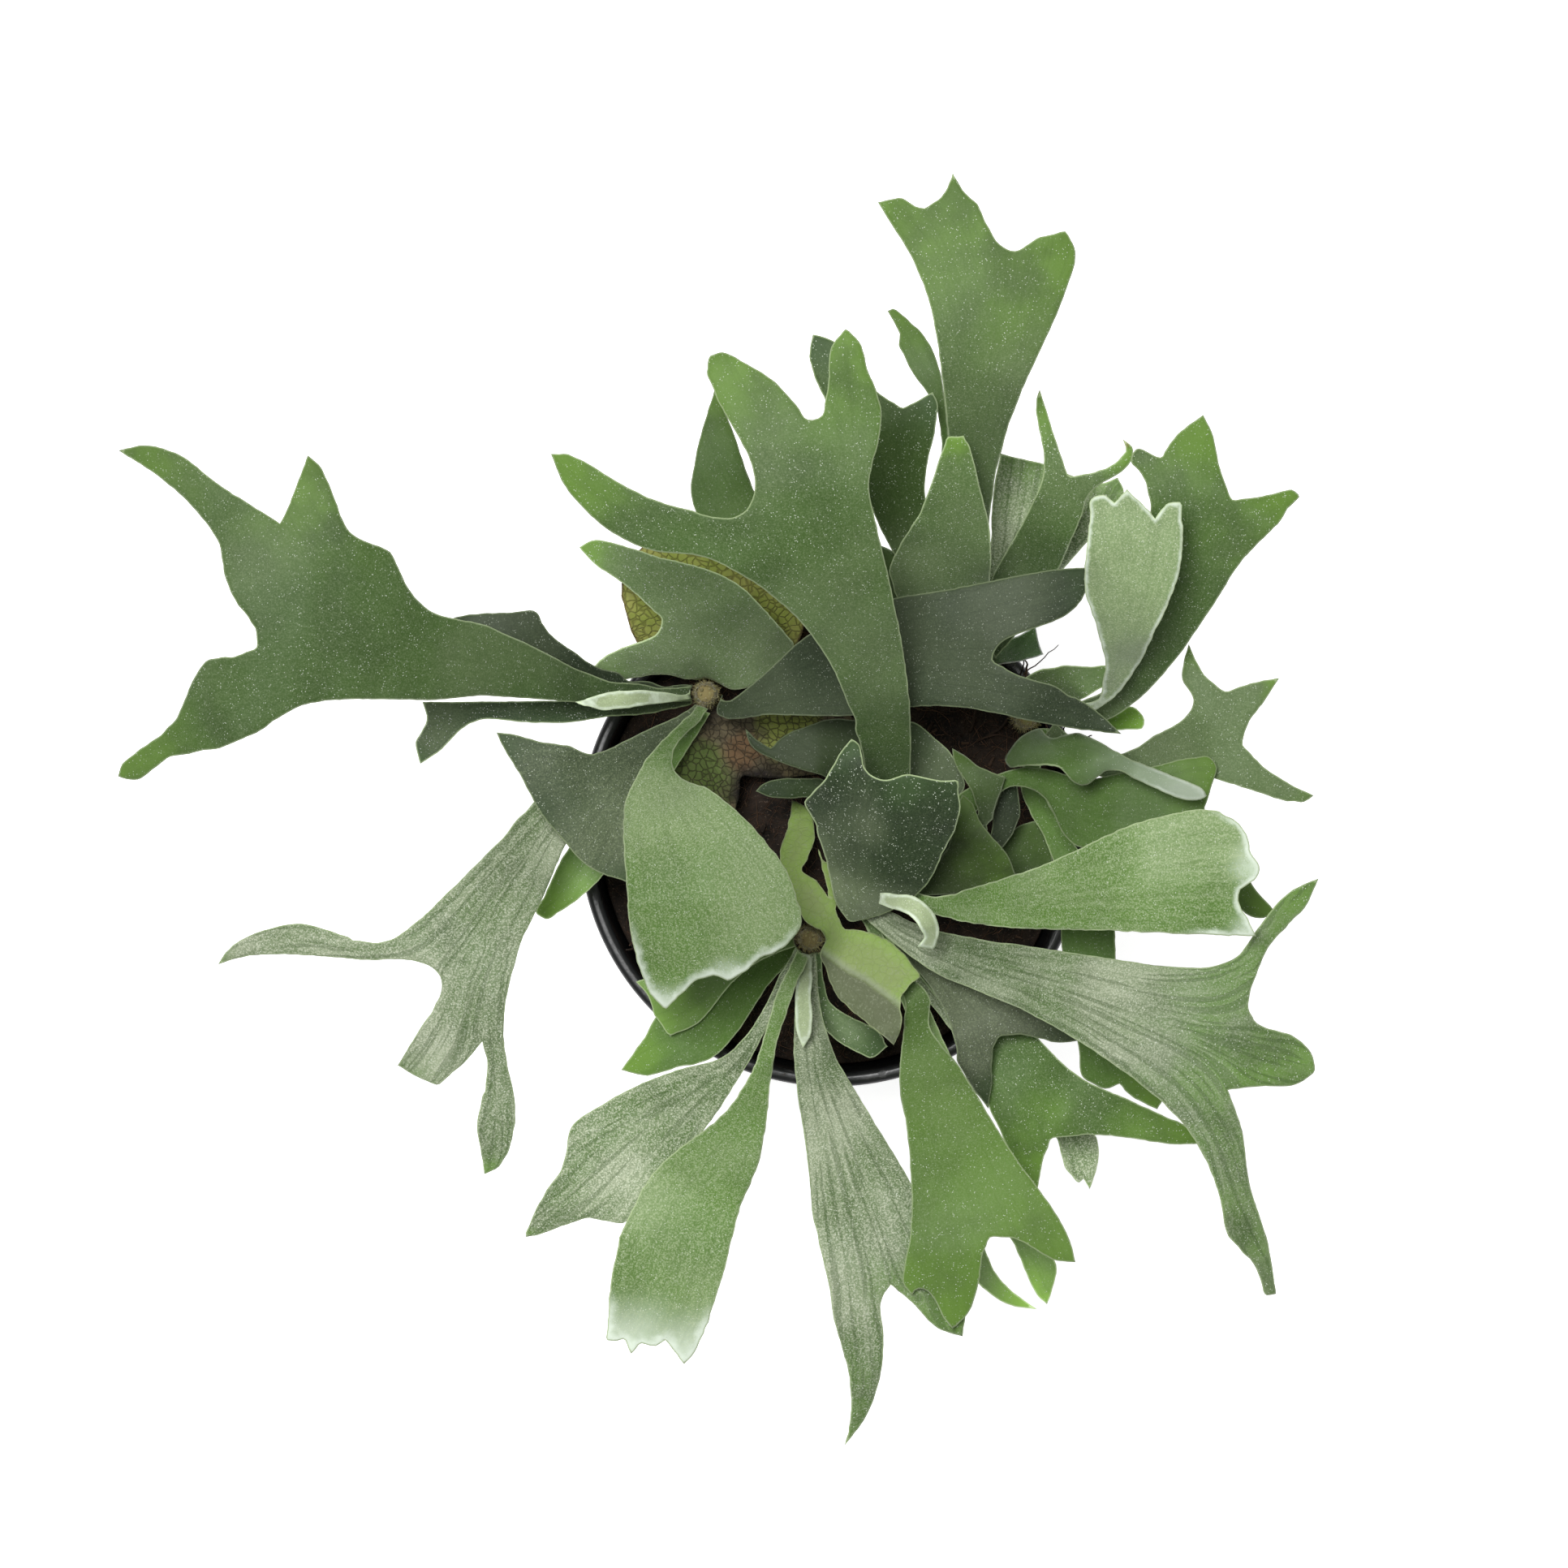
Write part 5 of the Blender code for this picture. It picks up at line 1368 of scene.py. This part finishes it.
litter = Bundle()
for _ in range(FIBRES):
    x, y, heading = dropped(3)
    path = wander((x, y, 0), heading, rng.uniform(*FIBRE_LENGTH), FIBRE_STEPS, 0.28)
    lift = rng.uniform(0.1, 1.2)
    path = [(px, py, soil_height(px, py) + lift * math.sin(math.pi * step / FIBRE_STEPS) + 0.05)
            for step, (px, py, _) in enumerate(path) if math.hypot(px, py) < SOIL_REACH - 1]
    if len(path) > 2:
        thick = rng.uniform(0.07, 0.2)
        litter.strand(path, thick, 0.4 * thick, sides=3, shade=rng.uniform(0.1, 0.9))
for _ in range(CHIPS):
    x, y, heading = dropped(4)
    z = soil_height(x, y) + 0.2
    size = rng.uniform(*CHIP_SIZE)
    path = wander((x, y, z), heading + UP * rng.uniform(-0.2, 0.4), size * 1.6, 3, 0.2)
    litter.strand(path, 0.35 * size, 0.2 * size, sides=5, shade=rng.uniform(0.0, 0.3))
made["litter"] = litter.piece("soil_litter", "soil", coir, "coir_soil")

# %% [markdown]
# A few wiry roots have grown out over the rim.  Each one starts in the coir, climbs over the rim
# and ends in the air just beyond it.

# %% Stray roots
ROOT_CLUMPS = ((69.0, 52.0, 7), (86.0, 29.0, 9), (-64.0, -45.0, 5), (60.0, 40.0, 5))
ROOT_STARTS = 74.0
MOUTH = 77.0
ROOT_ENDS = 99.0
OVER_RIM = 130.8
ROOT_LENGTH = (20, 32)
ROOT_THICK = (0.35, 0.8)

roots = Bundle()
for x, y, number in ROOT_CLUMPS:
    outward = np.array([x, y, 0.0]) / math.hypot(x, y)
    for _ in range(number):
        spread = rng.normal(0, 5, 2)
        first = np.array([x, y]) - outward[:2] * rng.uniform(8, 14) + spread * 0.8
        first *= min(1.0, ROOT_STARTS / math.hypot(*first))
        heading = outward + UP * 1.25 + rng.normal(0, 0.2, 3)
        heading /= np.linalg.norm(heading)
        path = wander((*first, SOIL_LEVEL), heading, rng.uniform(*ROOT_LENGTH), 14, 0.2, 0.06)
        clear = [(px, py, pz if math.hypot(px, py) < MOUTH else max(pz, OVER_RIM))
                 for px, py, pz in path if math.hypot(px, py) < ROOT_ENDS]
        thick = rng.uniform(*ROOT_THICK)
        roots.strand(clear, thick, 0.35 * thick, sides=5, shade=rng.uniform(0.0, 0.3))
made["roots"] = roots.piece("stray_roots", "soil", coir, "coir_soil")
